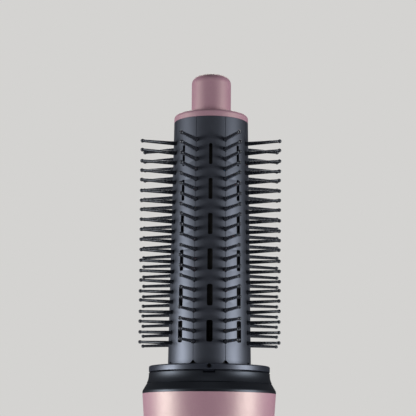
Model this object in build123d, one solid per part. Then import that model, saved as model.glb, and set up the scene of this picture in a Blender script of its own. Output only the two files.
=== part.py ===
from build123d import *
import math
import os

# Hot air brush, standing upright on its foot: +Z along the brush's axis, front towards -Y,
# origin at the centre of the flat foot. All sizes in millimetres.

# ------------------------------------------------------------------ handle, outside
handle_height = 218.0        # flat foot to the housing's top edge
housing_top_r = 24.0         # housing radius at its top edge
housing_taper = 4.1          # degrees, slope of the housing wall at its top edge
grip_r = 18.8                # narrowest radius of the housing, at the controls
grip_height = 85.0           # height of that narrowest place
housing_foot_r = 19.6        # housing radius at its lower edge
housing_wall = 2.2
housing_foot_height = 35.0   # height of the housing's lower edge, above the air inlet
seam_width = 0.24            # fine groove round the parting line of the two shells
seam_depth = 0.3

# ------------------------------------------------------------------ neck and head joint
neck_height = 7.4            # neck rim above the housing's top edge
neck_r = 21.8                # neck rim and flange radius
neck_crease_r = 22.6         # radius at the crease between the neck's two flares
neck_crease_height = 3.5     # crease above the housing's top edge
neck_flare_height = 5.4      # where the neck starts to flare, above the housing's top edge
neck_flare_round = 6.5
neck_lip_height = 0.9        # where the lower flare meets the housing's radius
neck_lip_round = 1.3
neck_skirt_depth = 11.0      # part of the neck inside the housing
socket_r = 18.6              # bore that takes the head's spigot
socket_depth = 5.0           # depth of that bore below the housing's top edge
ledge_r = 15.4               # opening in the ledge below the socket
ledge_thickness = 1.9
guard_thickness = 1.5
guard_rings = (4.0, 8.6)     # radii of the inner rings
guard_bar = 1.2
guard_spokes = 6
seat_gap = 0.3               # groove between neck rim and flange
key_width = 3.2
key_thickness = 1.2
key_height = 0.9
key_gap = 0.5                # room on each side of the key
detent_height = 1.0          # detent wire above the housing's top edge
detent_wire_r = 0.5
detent_centre_r = 18.45
detent_opening = 30.0        # degrees missing from the wire ring, at the rear
spigot_gap = 0.35            # radial room between spigot and socket
spigot_wall = 1.65
spigot_length = 12.0
seal_r = 0.55                # section radius of the spigot's silicone ring
seal_gap = 0.08              # running clearance of that ring in the socket
seal_height = 1.8            # ring's centre above the spigot's lower end

# ------------------------------------------------------------------ brush head
flange_thickness = 2.1
flange_round = 0.5
air_hole_r = 10.2            # air passage through the flange
index_hole_r = 0.9           # breaks out of the flange's upper edge
index_height = 1.3           # hole's centre above the flange's lower face
index_hole_depth = 0.9
index_pin_r = 0.6
index_pin_length = 2.2
index_recess = 0.6           # index pin's end below the flange's rim
barrel_foot_r = 14.98
barrel_top_r = 13.68
barrel_wall = 0.9
row_count = 8
pins_per_row = 21
pin_pitch = 3.65
row_foot_margin = 8.1        # barrel's foot to the lowest pin
row_top_margin = 8.6         # highest pin to the barrel's top
pin_root_r = 0.72
pin_neck_r = 0.5             # pin radius below its ball tip
pin_ball_r = 0.68
pin_hole_gap = 0.14          # barrel's hole round a pin's root
reach_foot = 27.3            # axis to the ball tips of the lowest pins
reach_top = 27.65            # axis to the ball tips of the highest pins
slots_per_column = 6
pins_per_slot = 3.5          # pin pitches from one slot to the next
slot_length = 7.7
slot_width_foot = 2.2
slot_width_top = 1.2
slot_corner = 0.6            # corner radius as a share of the slot's half width
seam_line_width = 0.16       # fine line along each row of the barrel
seam_line_depth = 0.15
notch_width = 3.4            # V notch in the barrel's foot under each row
notch_height = 1.65
strip_width = 2.2
strip_thickness = 1.0
carrier_wall = 2.6
carrier_foot_height = 5.4    # closed band of the carrier above the flange
carrier_foot_wall = 3.6
carrier_top_height = 3.0
window_width = 5.4           # openings of the carrier behind the slot columns
plug_height = 4.5
plug_web = 2.4
plug_rim = 2.0
ring_height = 2.7
ring_round = 1.1
ring_skirt_wall = 1.4
ring_lip = 0.15              # fine shadow chamfer at the ring's lower edge
tip_r = 7.3
tip_height = 15.8
tip_round = 3.0
tip_dome = 0.6
tip_wall = 1.8
tip_reveal = 0.35            # shadow groove under the cool tip
tip_post_r = 3.4
tip_screw_r = 1.2
tip_screw_bite = 3.0         # length in the cool tip's post
tip_screw_head_r = 2.2
tip_screw_head_height = 1.6
guide_top_r = 7.0
guide_foot_r = 1.6
guide_wall = 1.0
guide_foot_gap = 4.5         # guide's lower end above the flange
guide_solid_share = 0.3      # share of the guide's length that is solid at its foot
flange_screw_circle_r = 12.1
flange_screw_count = 4
flange_screw_r = 0.9
flange_screw_bite = 4.0
flange_head_r = 1.7
flange_head_height = 1.0

# ------------------------------------------------------------------ air path in the handle
holder_foot_height = 99.0    # lower end of the fan's duct
holder_height = 49.0
holder_gap = 0.4             # duct to the inside of the grip
holder_wall = 1.9
heater_socket_depth = 4.0
heater_ledge = 0.5
heater_tube_wall = 0.5
liner_thickness = 0.3
card_thickness = 0.8
card_margin = 6.0            # card ends inside the heater tube's ends
card_foot = 4.0              # height of the wide feet at the card's ends
coil_pitch = 5.0
coil_r = 0.8                 # outer radius of the coiled heating wire
coil_margin = 7.0            # card's end to the first turn
coil_edge = 0.4              # card left outside the coil
inner_coil_turn_r = 6.5
coil_room = 0.2              # notch in the card round the coil
thermostat_size = (3.8, 2.8, 11.0)
fuse_r = 1.4
fuse_length = 12.0

# ------------------------------------------------------------------ motor and fan
impeller_gap = 0.5           # blade tips to the duct
impeller_height = 9.0
impeller_foot_gap = 3.0      # duct's end to the hub
impeller_hub_r = 6.5
impeller_nose = 3.0
blade_count = 7
blade_thickness = 0.9
blade_pitch = 38.0           # degrees from the axis
cup_foot_gap = 1.8           # hub to the motor cup's floor
cup_floor = 1.2
cup_wall = 1.0
cup_height = 22.0
vane_count = 9
vane_thickness = 1.2
motor_r = 10.0
motor_length = 24.0
motor_can_wall = 0.8
motor_boss_r = 3.0
motor_boss_height = 1.5
motor_gap = 0.15             # can to cup
bell_thickness = 2.0
magnet_thickness = 1.6
magnet_length = 15.0
magnet_angle = 140.0
magnet_floor_gap = 1.5       # can's floor to the magnets
armature_gap = 0.5
armature_slots = 3
armature_slot_width = 1.8
commutator_r = 2.6
commutator_length = 3.0
shaft_r = 1.0
shaft_running_gap = 0.05
motor_screw_circle_r = 6.0
motor_screw_r = 0.9
motor_screw_head_r = 1.7
motor_screw_head_height = 0.9

# ------------------------------------------------------------------ controls
board_foot_height = 46.0
board_height = 50.0
board_thickness = 1.6
board_depth = 8.2            # board's front face behind the grip's inner wall
board_side_gap = 0.6
inlay_foot_height = 54.0
inlay_height = 46.0
inlay_width = 15.0
inlay_depth = 1.0            # recess in the housing
inlay_proud = 0.2
inlay_gap = 0.1
slider_height = 82.0         # centre of the slider in its off position
slider_travel = 8.0          # off, low, high: two steps
slider_length = 10.0
slider_width = 9.0
slider_rise = 2.4            # knob above the housing's surface
slider_float = 0.55          # knob's underside above the housing's surface
slider_neck_width = 2.6
slider_neck_length = 5.0
slider_neck_reach = 5.0      # slider's neck inside the grip's inner wall
slider_gap = 0.4
slider_ribs = 3
slide_switch_gap = 3.8       # switch body's front face to the grip's inner wall
slide_switch_width = 8.0
button_height = 64.0
button_r = 4.5
button_travel = 1.5
button_rise = 1.9
button_gap = 0.35
button_round = 0.8
button_dish_r = 18.0         # radius of the hollow in the button's face
button_dish_depth = 0.6
button_flange_r = 5.4
button_flange_thickness = 0.9
button_flange_gap = 1.0      # flange behind the housing's inside
plunger_r = 1.2
plunger_room = 0.35
plunger_entry = 1.2          # plunger inside its switch, button up
button_switch_size = 7.0
button_switch_gap = 4.2       # switch body's front face to the grip's inner wall
rectifier_size = (8.0, 3.2, 10.0)
rectifier_height = 79.0
capacitor_r = 3.6
capacitor_length = 9.0
capacitor_height = 60.0
lens_r = 1.25
lens_height = 95.5
lens_rise = 0.25

# ------------------------------------------------------------------ screws of the housing
boss_r = 3.1
boss_skin = 0.9              # housing left outside a boss
screw_r = 1.1
screw_head_r = 1.9
screw_head_height = 1.5
screw_head_room = 0.2
screw_cross_reach = 1.2      # half the length of a screw's cross recess
screw_cross_width = 0.5
screw_cross_floor = 0.7      # recess's floor above the head's seat
screw_seat = 3.0             # rear boss left under the screw head
screw_bite = 6.0             # length in the front boss
tube_boss_gap = 0.2
boss_clearance = 0.4         # boss to the piece above or below it

# ------------------------------------------------------------------ air inlet and cord outlet
cover_wall = 1.6
cover_foot_height = 1.2
cover_top_gap = 0.35         # groove between cover and housing
cover_slot_count = 28
cover_slot_width = 1.8
cover_slot_margin = 5.0
cover_lip = 2.0              # height of the cover's two guiding lips
cover_fit = 0.08             # running clearance of those lips on cage and foot
mesh_thickness = 0.3
cage_gap = 0.5               # cage to the inside of the housing's lower edge
cage_wall = 1.6
cage_slot_count = 10
cage_slot_width = 5.2
cage_slot_margin = 4.0
cage_overlap = 8.0           # cage inside the housing
rib_height = 1.6
rib_depth = 0.9
rib_gap = 0.1
foot_thickness = 5.0
foot_recess_r = 9.0
foot_recess_depth = 3.0
foot_ring_wall = 1.2         # ring that centres the foot in the cage
foot_ring_height = 3.0
gland_r = 5.6                # neck of the cord gland in its bearing
gland_gap = 0.06             # running clearance of that bearing
gland_bore_r = 3.5
gland_flare_r = 7.6
gland_lift = 0.8             # gland's lower end above the resting surface
gland_top_length = 7.0       # gland above the foot's floor
retainer_r = 8.6
retainer_height = 2.2
retainer_gap = 0.06
gland_groove_depth = 0.9
slip_ring_r = 6.5
slip_ring_height = 6.0
slip_ring_gap = 0.5
lead_r = 0.9
lead_spacing = 5.0

# ------------------------------------------------------------------ derived sizes
housing_slope = math.tan(math.radians(housing_taper))
grip_inner_r = grip_r - housing_wall
row_angle = 360 / row_count
neck_top = handle_height + neck_height
flange_foot = neck_top + seat_gap
flange_top = flange_foot + flange_thickness
barrel_length = row_foot_margin + (pins_per_row - 1) * pin_pitch + row_top_margin
barrel_top = flange_top + barrel_length
lowest_pin = flange_top + row_foot_margin
spigot_r = socket_r - spigot_gap
spigot_foot = flange_foot - spigot_length
seal_level = spigot_foot + seal_height
skirt_r = housing_top_r - housing_wall - housing_slope * neck_skirt_depth - 0.2
skirt_foot = handle_height - neck_skirt_depth
rib_level = handle_height - neck_skirt_depth / 2
guard_top = handle_height - socket_depth - ledge_thickness
guard_foot = guard_top - guard_thickness
holder_r = grip_inner_r - holder_gap
duct_r = holder_r - holder_wall
heater_tube_r = duct_r + heater_ledge - 0.1
heater_foot = holder_foot_height + holder_height - heater_socket_depth
liner_r = heater_tube_r - heater_tube_wall
liner_bore_r = liner_r - liner_thickness
card_foot_level = heater_foot + card_margin
card_top_level = guard_foot - card_margin
outer_coil_turn_r = liner_bore_r - coil_edge - 2 * coil_r - coil_room
hub_foot = holder_foot_height + impeller_foot_gap
hub_top = hub_foot + impeller_height
cup_foot = hub_top + cup_foot_gap
motor_foot = cup_foot + cup_floor
motor_top = motor_foot + motor_length
magnet_foot = motor_foot + motor_can_wall + magnet_floor_gap
low_boss_x = grip_inner_r - boss_r
low_boss_heights = (housing_foot_height + cage_overlap + boss_r + boss_clearance,
                    holder_foot_height - boss_r - boss_clearance)
board_half_width = low_boss_x - boss_r - board_side_gap
board_front = grip_inner_r - board_depth
slider_neck_depth = grip_inner_r - slider_neck_reach
slide_switch_front = grip_inner_r - slide_switch_gap
button_switch_front = grip_inner_r - button_switch_gap
pin_hole_r = pin_root_r + pin_hole_gap
index_level = flange_foot + index_height
top_boss_x = heater_tube_r + tube_boss_gap + boss_r
top_boss_height = skirt_foot - boss_r - 0.5
cage_r = housing_foot_r - housing_wall - cage_gap
cover_bore_r = housing_foot_r - cover_wall
foot_r = cage_r
cage_foot = foot_thickness
cage_top = housing_foot_height + cage_overlap
gland_top = foot_thickness + gland_top_length


# ================================================================== helpers
def cylinder(radius, low, high):
    """Round bar on the Z axis between two heights."""
    return Pos(0, 0, low) * Cylinder(radius, high - low, align=(Align.CENTER, Align.CENTER, Align.MIN))


def tube(outer, inner, low, high):
    """Tube on the Z axis between two heights."""
    return cylinder(outer, low, high) - cylinder(inner, low - 1, high + 1)


def block(x_low, x_high, y_low, y_high, z_low, z_high):
    """Box between its two corners."""
    size = (x_high - x_low, y_high - y_low, z_high - z_low)
    centre = ((x_low + x_high) / 2, (y_low + y_high) / 2, (z_low + z_high) / 2)
    return Pos(*centre) * Box(*size)


def turned(*corners):
    """Solid turned about Z from (radius, height) corners; a third number rounds a corner."""
    points = [corner[:2] for corner in corners]
    rounds = [corner[2] if len(corner) > 2 else 0 for corner in corners]
    outline = FilletPolyline(*points, radius=rounds, close=True)
    return revolve(make_face(Plane.XZ * outline), Axis.Z)


def across(radius, x, z, y_low, y_high):
    """Round bar along Y at one place of the XZ plane."""
    bar = Cylinder(radius, y_high - y_low, align=(Align.CENTER, Align.CENTER, Align.MIN))
    return Pos(x, y_low, z) * Rot(-90, 0, 0) * bar


def outwards(radius, z, r_low, r_high, angle=0):
    """Round bar along a radius, at an angle about Z from +X."""
    bar = Cylinder(radius, r_high - r_low, align=(Align.CENTER, Align.CENTER, Align.MIN))
    return Rot(0, 0, angle) * Pos(r_low, 0, z) * Rot(0, 90, 0) * bar


def around(shape, count, first=0.0):
    """Copies of a shape turned about Z in equal steps."""
    return [Rot(0, 0, first + step * 360 / count) * shape for step in range(count)]


def save(name, shape):
    """Write one named piece."""
    export_step(shape, f"parts/{name}.step")


# ================================================================== housing
def housing_body(offset):
    """Solid of revolution with the housing's outline, moved out by an offset."""
    top = (housing_top_r + offset, handle_height)
    waist = (grip_r + offset, grip_height)
    foot = (housing_foot_r + offset, housing_foot_height)
    reach = (handle_height - grip_height) * 0.36
    upper = Bezier(waist, (waist[0], grip_height + reach),
                   (top[0] - housing_slope * reach, handle_height - reach), top)
    drop = (grip_height - housing_foot_height) / 2
    lower = Bezier(foot, (foot[0] - 0.3, housing_foot_height + drop),
                   (waist[0], grip_height - drop), waist)
    sides = Polyline(top, (0, handle_height), (0, housing_foot_height), foot)
    return revolve(make_face(Plane.XZ * (upper + lower + sides)), Axis.Z)


def boss_places():
    """The (x, z) places of all housing screws."""
    low = [(side * low_boss_x, height) for height in low_boss_heights for side in (-1, 1)]
    return low + [(side * top_boss_x, top_boss_height) for side in (-1, 1)]


def housing_shell():
    """Both halves of the housing in one, before they are parted."""
    outer = housing_body(0)
    shell = outer - housing_body(-housing_wall)
    low = skirt_foot
    shell -= cylinder(skirt_r + 0.2, low, handle_height + 1)
    collar_rib = tube(skirt_r + 1, skirt_r - rib_depth + rib_gap,
                      rib_level - rib_height / 2, rib_level + rib_height / 2)
    cage_rib_level = housing_foot_height + cage_overlap / 2
    cage_rib = tube(cage_r + 1, cage_r - rib_depth + rib_gap,
                    cage_rib_level - rib_height / 2, cage_rib_level + rib_height / 2)
    bosses = [across(boss_r, x, z, -housing_top_r, housing_top_r) for x, z in boss_places()]
    inside = housing_body(-boss_skin)
    shell += [collar_rib & inside, cage_rib & inside]
    shell += [boss & inside for boss in bosses]
    seam = (housing_body(1) - housing_body(-seam_depth)) & block(
        -2 * housing_top_r, 2 * housing_top_r, -seam_width / 2, seam_width / 2, 0, 2 * handle_height)
    return shell - seam


def inlay_outline(margin, y_low, y_high):
    """Bar along Y with the stadium outline of the control panel."""
    outline = SlotOverall(inlay_height + 2 * margin, inlay_width + 2 * margin, rotation=90)
    prism = extrude(Plane.XZ * outline, y_high - y_low)
    return Pos(0, y_high, inlay_foot_height + inlay_height / 2) * prism


def slider_slot(margin):
    """Opening for the slider's neck over its whole travel."""
    half_width = slider_neck_width / 2 + margin
    low = slider_height - slider_neck_length / 2 - margin
    high = slider_height + slider_travel + slider_neck_length / 2 + margin
    return block(-half_width, half_width, -2 * grip_r, -slider_neck_depth + margin, low, high)


def control_openings():
    """Openings through the housing and the control panel."""
    front = -2 * grip_r
    button = across(button_r + button_gap, 0, button_height, front, 0)
    lens = across(lens_r, 0, lens_height, front, 0)
    return [slider_slot(slider_gap), button, lens]


def front_housing(shell):
    """Front shell with the recess and openings of the controls."""
    half = shell & block(-50, 50, -50, 0, 0, 2 * handle_height)
    recess = (housing_body(2) - housing_body(-inlay_depth)) & inlay_outline(inlay_gap, -2 * grip_r, 0)
    pilots = [across(screw_r, x, z, -screw_bite, 1) for x, z in boss_places()]
    return half - recess - control_openings() - pilots


def rear_housing(shell):
    """Rear shell with the countersunk screw holes."""
    half = shell & block(-50, 50, 0, 50, 0, 2 * handle_height)
    holes = [across(screw_r + 0.2, x, z, -1, screw_seat + 1) for x, z in boss_places()]
    wells = [across(screw_head_r + screw_head_room, x, z, screw_seat, 50) for x, z in boss_places()]
    return half - holes - wells


def housing_screws():
    """Pan-head screws from the rear, one group."""
    reach = screw_cross_reach
    half = screw_cross_width / 2
    screws = []
    for x, z in boss_places():
        shank = across(screw_r, x, z, -screw_bite, screw_seat)
        head = across(screw_head_r, x, z, screw_seat, screw_seat + screw_head_height)
        cross = [block(x - wide, x + wide, screw_seat + screw_cross_floor, 50, z - high, z + high)
                 for wide, high in ((reach, half), (half, reach))]
        screws.append(shank + head - cross)
    return Compound(children=[screw.solid() for screw in screws])


# ================================================================== controls
def control_inlay():
    """Thin panel that follows the housing's front."""
    band = housing_body(inlay_proud) - housing_body(-inlay_depth)
    return (band & inlay_outline(0, -2 * grip_r, 0)) - control_openings()


def slider_knob():
    """Thumb piece with grip ribs and the neck that enters the switch."""
    low = slider_height - slider_length / 2
    high = slider_height + slider_length / 2
    half = slider_width / 2
    cap = (housing_body(slider_rise) - housing_body(slider_float)) & block(
        -half, half, -2 * grip_r, 0, low, high)
    cap = fillet(cap.edges().filter_by(Axis.Y), 1.6)
    neck_half = slider_neck_width / 2
    neck = block(-neck_half, neck_half, -grip_r - slider_rise / 2, -slider_neck_depth,
                 slider_height - slider_neck_length / 2, slider_height + slider_neck_length / 2)
    step = slider_length / (slider_ribs + 1)
    valleys = []
    for rib in range(slider_ribs):
        z = low + step * (rib + 1)
        band = housing_body(slider_rise + 1) - housing_body(slider_rise - 0.6)
        valleys.append(band & block(-half + 1.2, half - 1.2, -2 * grip_r, 0, z - 0.5, z + 0.5))
    return cap + neck - valleys


def cool_shot_button():
    """Round push button with a retaining flange inside the housing."""
    face = -(grip_r + button_rise)
    flange_front = -(grip_inner_r - button_flange_gap)
    stem = across(button_r, 0, button_height, face, flange_front + button_flange_thickness)
    rim = stem.edges().group_by(Axis.Y)[0]
    stem = fillet(rim, button_round)
    dish = Pos(0, face + button_dish_depth - button_dish_r, button_height) * Sphere(button_dish_r)
    flange = across(button_flange_r, 0, button_height, flange_front,
                    flange_front + button_flange_thickness)
    return stem + flange - dish


def switch_plunger():
    """Plunger between the button and its switch."""
    flange_back = -(grip_inner_r - button_flange_gap) + button_flange_thickness
    return across(plunger_r, 0, button_height, flange_back, -button_switch_front + plunger_entry)


def indicator_lens():
    """Light guide above the slider."""
    return across(lens_r, 0, lens_height, -(grip_r + lens_rise), -(grip_inner_r - 0.6))


def control_board():
    """Circuit board that carries the switches."""
    return block(-board_half_width, board_half_width, -board_front, -board_front + board_thickness,
                 board_foot_height, board_foot_height + board_height)


def slide_switch():
    """Switch body with the channel for the slider's neck."""
    half = slide_switch_width / 2
    middle = slider_height + slider_travel / 2
    half_length = (slider_travel + slider_neck_length) / 2 + slider_gap + 1.0
    body = block(-half, half, -slide_switch_front, -board_front, middle - half_length,
                 middle + half_length)
    return body - slider_slot(slider_gap)


def button_switch():
    """Tactile switch with the hole for its plunger."""
    half = button_switch_size / 2
    body = block(-half, half, -button_switch_front, -board_front, button_height - half,
                 button_height + half)
    depth = button_travel + plunger_entry + plunger_room
    return body - across(plunger_r + plunger_room, 0, button_height, -button_switch_front - 1,
                         -button_switch_front + depth)


def rectifier():
    """Bridge rectifier on the board's back."""
    width, depth, height = rectifier_size
    back = -board_front + board_thickness
    return block(-width / 2, width / 2, back, back + depth, rectifier_height - height / 2,
                 rectifier_height + height / 2)


def capacitor():
    """Suppression capacitor standing on the board's back."""
    back = -board_front + board_thickness
    return across(capacitor_r, 0, capacitor_height, back, back + capacitor_length)


# ================================================================== neck, heater and guard
def neck_collar():
    """Socket ring with the two flares of the neck, held by a rib of the housing."""
    top = handle_height
    crease = top + neck_crease_height
    body = turned(
        (socket_r, neck_top, 0.3), (neck_r, neck_top, 0.3),
        (neck_r, top + neck_flare_height, neck_flare_round), (neck_crease_r - 0.1, crease + 0.2),
        (neck_crease_r - 0.3, crease), (neck_crease_r, crease - 0.15),
        (housing_top_r, top + neck_lip_height, neck_lip_round), (housing_top_r, top, 0.1),
        (skirt_r, top), (skirt_r, skirt_foot), (ledge_r + 1.5, skirt_foot), (ledge_r + 1.5, guard_top),
        (ledge_r, guard_top), (ledge_r, top - socket_depth), (socket_r, top - socket_depth))
    rib_groove = tube(skirt_r + 1, skirt_r - rib_depth, rib_level - rib_height / 2 - rib_gap,
                      rib_level + rib_height / 2 + rib_gap)
    wire_groove = tube(detent_centre_r + detent_wire_r + 0.25, socket_r - 1,
                       top + detent_height - detent_wire_r - 0.1,
                       top + detent_height + detent_wire_r + 0.1)
    half = key_width / 2 + key_gap
    notch = block(-half, half, -2 * neck_r, -socket_r + 1, neck_top - key_height, neck_top + 1)
    return body - rib_groove - wire_groove - notch


def detent_ring():
    """Open wire ring that snaps into the spigot's groove."""
    ring = Pos(0, 0, handle_height + detent_height) * Torus(detent_centre_r, detent_wire_r)
    side = 2 * socket_r
    half = math.radians(detent_opening / 2)
    wedge = Polyline((0, 0), (side * math.sin(half), side * math.cos(half)),
                     (-side * math.sin(half), side * math.cos(half)), (0, 0))
    cut = extrude(make_face(Plane.XY * wedge), 4, both=True)
    return ring - Pos(0, 0, handle_height + detent_height) * cut


def outlet_grille():
    """Finger guard of rings and spokes over the heater."""
    outer = ledge_r + 1.4
    rim = tube(outer, heater_tube_r - 0.9, guard_foot, guard_top)
    half = guard_bar / 2
    rings = [tube(middle + half, middle - half, guard_foot, guard_top) for middle in guard_rings]
    spoke = block(guard_rings[0], heater_tube_r - 0.5, -half, half, guard_foot, guard_top)
    return rim + rings + around(spoke, guard_spokes)


def heater_tube():
    """Steel tube round the heater."""
    return tube(heater_tube_r, liner_r, heater_foot, guard_foot)


def mica_liner():
    """Insulating sleeve in the heater tube."""
    return tube(liner_r, liner_bore_r, heater_foot + 1, guard_foot - 1)


def coil_levels():
    """Heights of the heating coils' turns."""
    low = card_foot_level + coil_margin
    count = int((card_top_level - coil_margin - low) / coil_pitch) + 1
    return [low + turn * coil_pitch for turn in range(count)]


def heater_card(half_slot_low, half_slot_high):
    """Mica card in the XZ plane with feet, coil notches and one half slot for its partner."""
    half_thick = card_thickness / 2
    wide = liner_bore_r - 0.01
    narrow = outer_coil_turn_r + coil_r + coil_room
    card = block(-narrow, narrow, -half_thick, half_thick, card_foot_level, card_top_level)
    for low in (card_foot_level, card_top_level - card_foot):
        card += block(-wide, wide, -half_thick, half_thick, low, low + card_foot)
    room = coil_r + coil_room
    cuts = [block(-half_thick, half_thick, -5, 5, half_slot_low, half_slot_high)]
    for z in coil_levels():
        for side in (-1, 1):
            for turn_r in (outer_coil_turn_r, inner_coil_turn_r):
                x = side * turn_r
                cuts.append(block(x - room, x + room, -5, 5, z - room, z + room))
    return card - cuts


def heating_coil(turn_r):
    """Coiled heating wire laid round the cards, drawn as one ring for each turn."""
    turns = [Pos(0, 0, z) * Torus(turn_r, coil_r) for z in coil_levels()]
    return Compound(children=[turn.solid() for turn in turns])


def thermostat():
    """Bimetal cut-out in one corner of the crossed cards."""
    width, depth, height = thermostat_size
    edge = card_thickness / 2
    low = card_foot_level + card_foot + 2
    return block(edge, edge + width, -edge - depth, -edge, low, low + height)


def thermal_fuse():
    """One-shot fuse in the opposite corner."""
    low = card_foot_level + card_foot + 2
    edge = card_thickness / 2 + fuse_r
    return Pos(-edge, edge, 0) * cylinder(fuse_r, low, low + fuse_length)


# ================================================================== fan and motor
def motor_holder():
    """Fan duct with the motor's cup on stator vanes and the heater's socket on top."""
    low = holder_foot_height
    high = low + holder_height
    duct = tube(holder_r, duct_r, low, high)
    duct -= cylinder(duct_r + heater_ledge, heater_foot, high + 1)
    cup_inner = motor_r + motor_gap
    cup_outer = cup_inner + cup_wall
    cup = cylinder(cup_outer, cup_foot, cup_foot + cup_height)
    cup -= cylinder(cup_inner, cup_foot + cup_floor, cup_foot + cup_height + 1)
    cup -= cylinder(motor_boss_r + 0.2, cup_foot - 1, cup_foot + cup_floor + 1)
    cup -= motor_screw_bars(motor_screw_r, cup_foot - 1, cup_foot + cup_floor + 1)
    vane = block(cup_inner + cup_wall / 2, duct_r + 0.4, -vane_thickness / 2, vane_thickness / 2,
                 cup_foot + 1, cup_foot + cup_height - 2)
    return duct + cup + around(vane, vane_count)


def motor_screw_bars(radius, low, high):
    """Bars at the places of the motor's two screws."""
    return [Pos(side * motor_screw_circle_r, 0, 0) * cylinder(radius, low, high) for side in (-1, 1)]


def motor_can():
    """Drawn steel can with a bearing boss and two screw holes."""
    floor_top = motor_foot + motor_can_wall
    can = cylinder(motor_r, motor_foot, motor_top)
    can -= cylinder(motor_r - motor_can_wall, floor_top, motor_top + 1)
    can += cylinder(motor_boss_r, motor_foot - motor_boss_height, motor_foot + 0.1)
    can -= cylinder(shaft_r + shaft_running_gap, motor_foot - 5, floor_top + 1)
    return can - motor_screw_bars(motor_screw_r, motor_foot - 1, floor_top + 1)


def motor_screws():
    """Two screws through the cup's floor into the can."""
    screws = []
    for side in (-1, 1):
        shank = cylinder(motor_screw_r, cup_foot, motor_foot + motor_can_wall)
        head = cylinder(motor_screw_head_r, cup_foot - motor_screw_head_height, cup_foot)
        screws.append(Pos(side * motor_screw_circle_r, 0, 0) * (shank + head))
    return Compound(children=[screw.solid() for screw in screws])


def motor_magnets():
    """Two arc magnets in the can."""
    outer = motor_r - motor_can_wall
    ring = tube(outer, outer - magnet_thickness, magnet_foot, magnet_foot + magnet_length)
    reach = 2 * motor_r
    rise = reach * math.tan(math.radians(magnet_angle / 2))
    wedge = Polyline((0, 0), (reach, rise), (reach, -rise), (0, 0))
    sector = Pos(0, 0, magnet_foot - 1) * extrude(make_face(Plane.XY * wedge), magnet_length + 2)
    arcs = [(ring & shape).solid() for shape in around(sector, 2)]
    return Compound(children=arcs)


def motor_end_bell():
    """Plastic end bell with the upper bearing."""
    bell = cylinder(motor_r - motor_can_wall, motor_top - bell_thickness, motor_top)
    bell += cylinder(motor_boss_r, motor_top - 0.1, motor_top + motor_boss_height)
    return bell - cylinder(shaft_r + shaft_running_gap, motor_top - 9, motor_top + 9)


def armature():
    """Slotted armature with its commutator."""
    radius = motor_r - motor_can_wall - magnet_thickness - armature_gap
    core = cylinder(radius, magnet_foot, magnet_foot + magnet_length)
    half = armature_slot_width / 2
    slot = block(commutator_r + 1, radius + 1, -half, half, magnet_foot - 1,
                 magnet_foot + magnet_length + 1)
    core -= around(slot, armature_slots)
    core += cylinder(commutator_r, magnet_foot + magnet_length,
                     magnet_foot + magnet_length + commutator_length)
    return core - cylinder(shaft_r, magnet_foot - 9, motor_top)


def motor_shaft():
    """Shaft through the motor and into the fan's hub."""
    return cylinder(shaft_r, hub_foot + 1, motor_top + motor_boss_height + 0.6)


def impeller():
    """Axial fan with pitched blades and a domed hub."""
    tip_radius = duct_r - impeller_gap
    hub = turned((0, hub_foot - impeller_nose), (impeller_hub_r * 0.5, hub_foot - impeller_nose, 2.0),
                 (impeller_hub_r, hub_foot, 1.0), (impeller_hub_r, hub_top), (0, hub_top))
    middle = (hub_foot + hub_top) / 2
    length = impeller_height / math.cos(math.radians(blade_pitch)) + 4
    plate = Box(tip_radius, blade_thickness, length, align=(Align.MIN, Align.CENTER, Align.CENTER))
    blade = Pos(impeller_hub_r / 2, 0, middle) * Rot(blade_pitch, 0, 0) * plate
    zone = tube(tip_radius, impeller_hub_r - 0.5, hub_foot + 0.2, hub_top - 0.2)
    blades = [blade_copy & zone for blade_copy in around(blade, blade_count)]
    return hub + blades - cylinder(shaft_r, hub_foot + 1, hub_top + 1)


# ================================================================== air inlet and cord outlet
def inlet_cage():
    """Slotted inlet tube, held by a rib of the housing."""
    cage = tube(cage_r, cage_r - cage_wall, cage_foot, cage_top)
    low = cage_foot + cage_slot_margin
    high = housing_foot_height - cage_slot_margin
    half = cage_slot_width / 2
    slot = block(cage_r / 2, 2 * cage_r, -half, half, low, high)
    level = housing_foot_height + cage_overlap / 2
    groove = tube(cage_r + 1, cage_r - rib_depth, level - rib_height / 2 - rib_gap,
                  level + rib_height / 2 + rib_gap)
    return cage - around(slot, cage_slot_count, 90 / cage_slot_count) - groove


def filter_cover():
    """Outer sleeve with vertical inlet slots."""
    high = housing_foot_height - cover_top_gap
    lip_r = cage_r + cover_fit
    body = turned((lip_r, cover_foot_height, 0.3), (housing_foot_r, cover_foot_height, 0.8),
                  (housing_foot_r, high, 0.2), (lip_r, high), (lip_r, high - cover_lip),
                  (cover_bore_r, high - cover_lip - 0.9), (cover_bore_r, cover_foot_height + cover_lip),
                  (lip_r, cover_foot_height + cover_lip))
    half = cover_slot_width / 2
    low_slot = cover_foot_height + cover_slot_margin
    slot = block(cover_bore_r - 2, housing_foot_r + 2, -half, half, low_slot + half,
                 high - cover_slot_margin - half)
    for z in (low_slot + half, high - cover_slot_margin - half):
        slot += outwards(half, z, cover_bore_r - 2, housing_foot_r + 2)
    return body - around(slot, cover_slot_count)


def filter_mesh():
    """Fine mesh sleeve in the cover, drawn as a thin tube."""
    high = housing_foot_height - cover_top_gap - cover_lip - 1
    return tube(cover_bore_r, cover_bore_r - mesh_thickness, cover_foot_height + cover_lip, high)


def base_cap():
    """Flat foot with the recess and bearing bore of the cord gland."""
    cap = turned((0, 0), (foot_r, 0, 0.8), (foot_r, foot_thickness), (0, foot_thickness))
    ring_r = cage_r - cage_wall - 0.1
    cap += tube(ring_r, ring_r - foot_ring_wall, foot_thickness - 0.5, foot_thickness + foot_ring_height)
    cap -= cylinder(foot_recess_r, -1, foot_recess_depth)
    return cap - cylinder(gland_r + gland_gap, -1, foot_thickness + 1)


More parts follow.
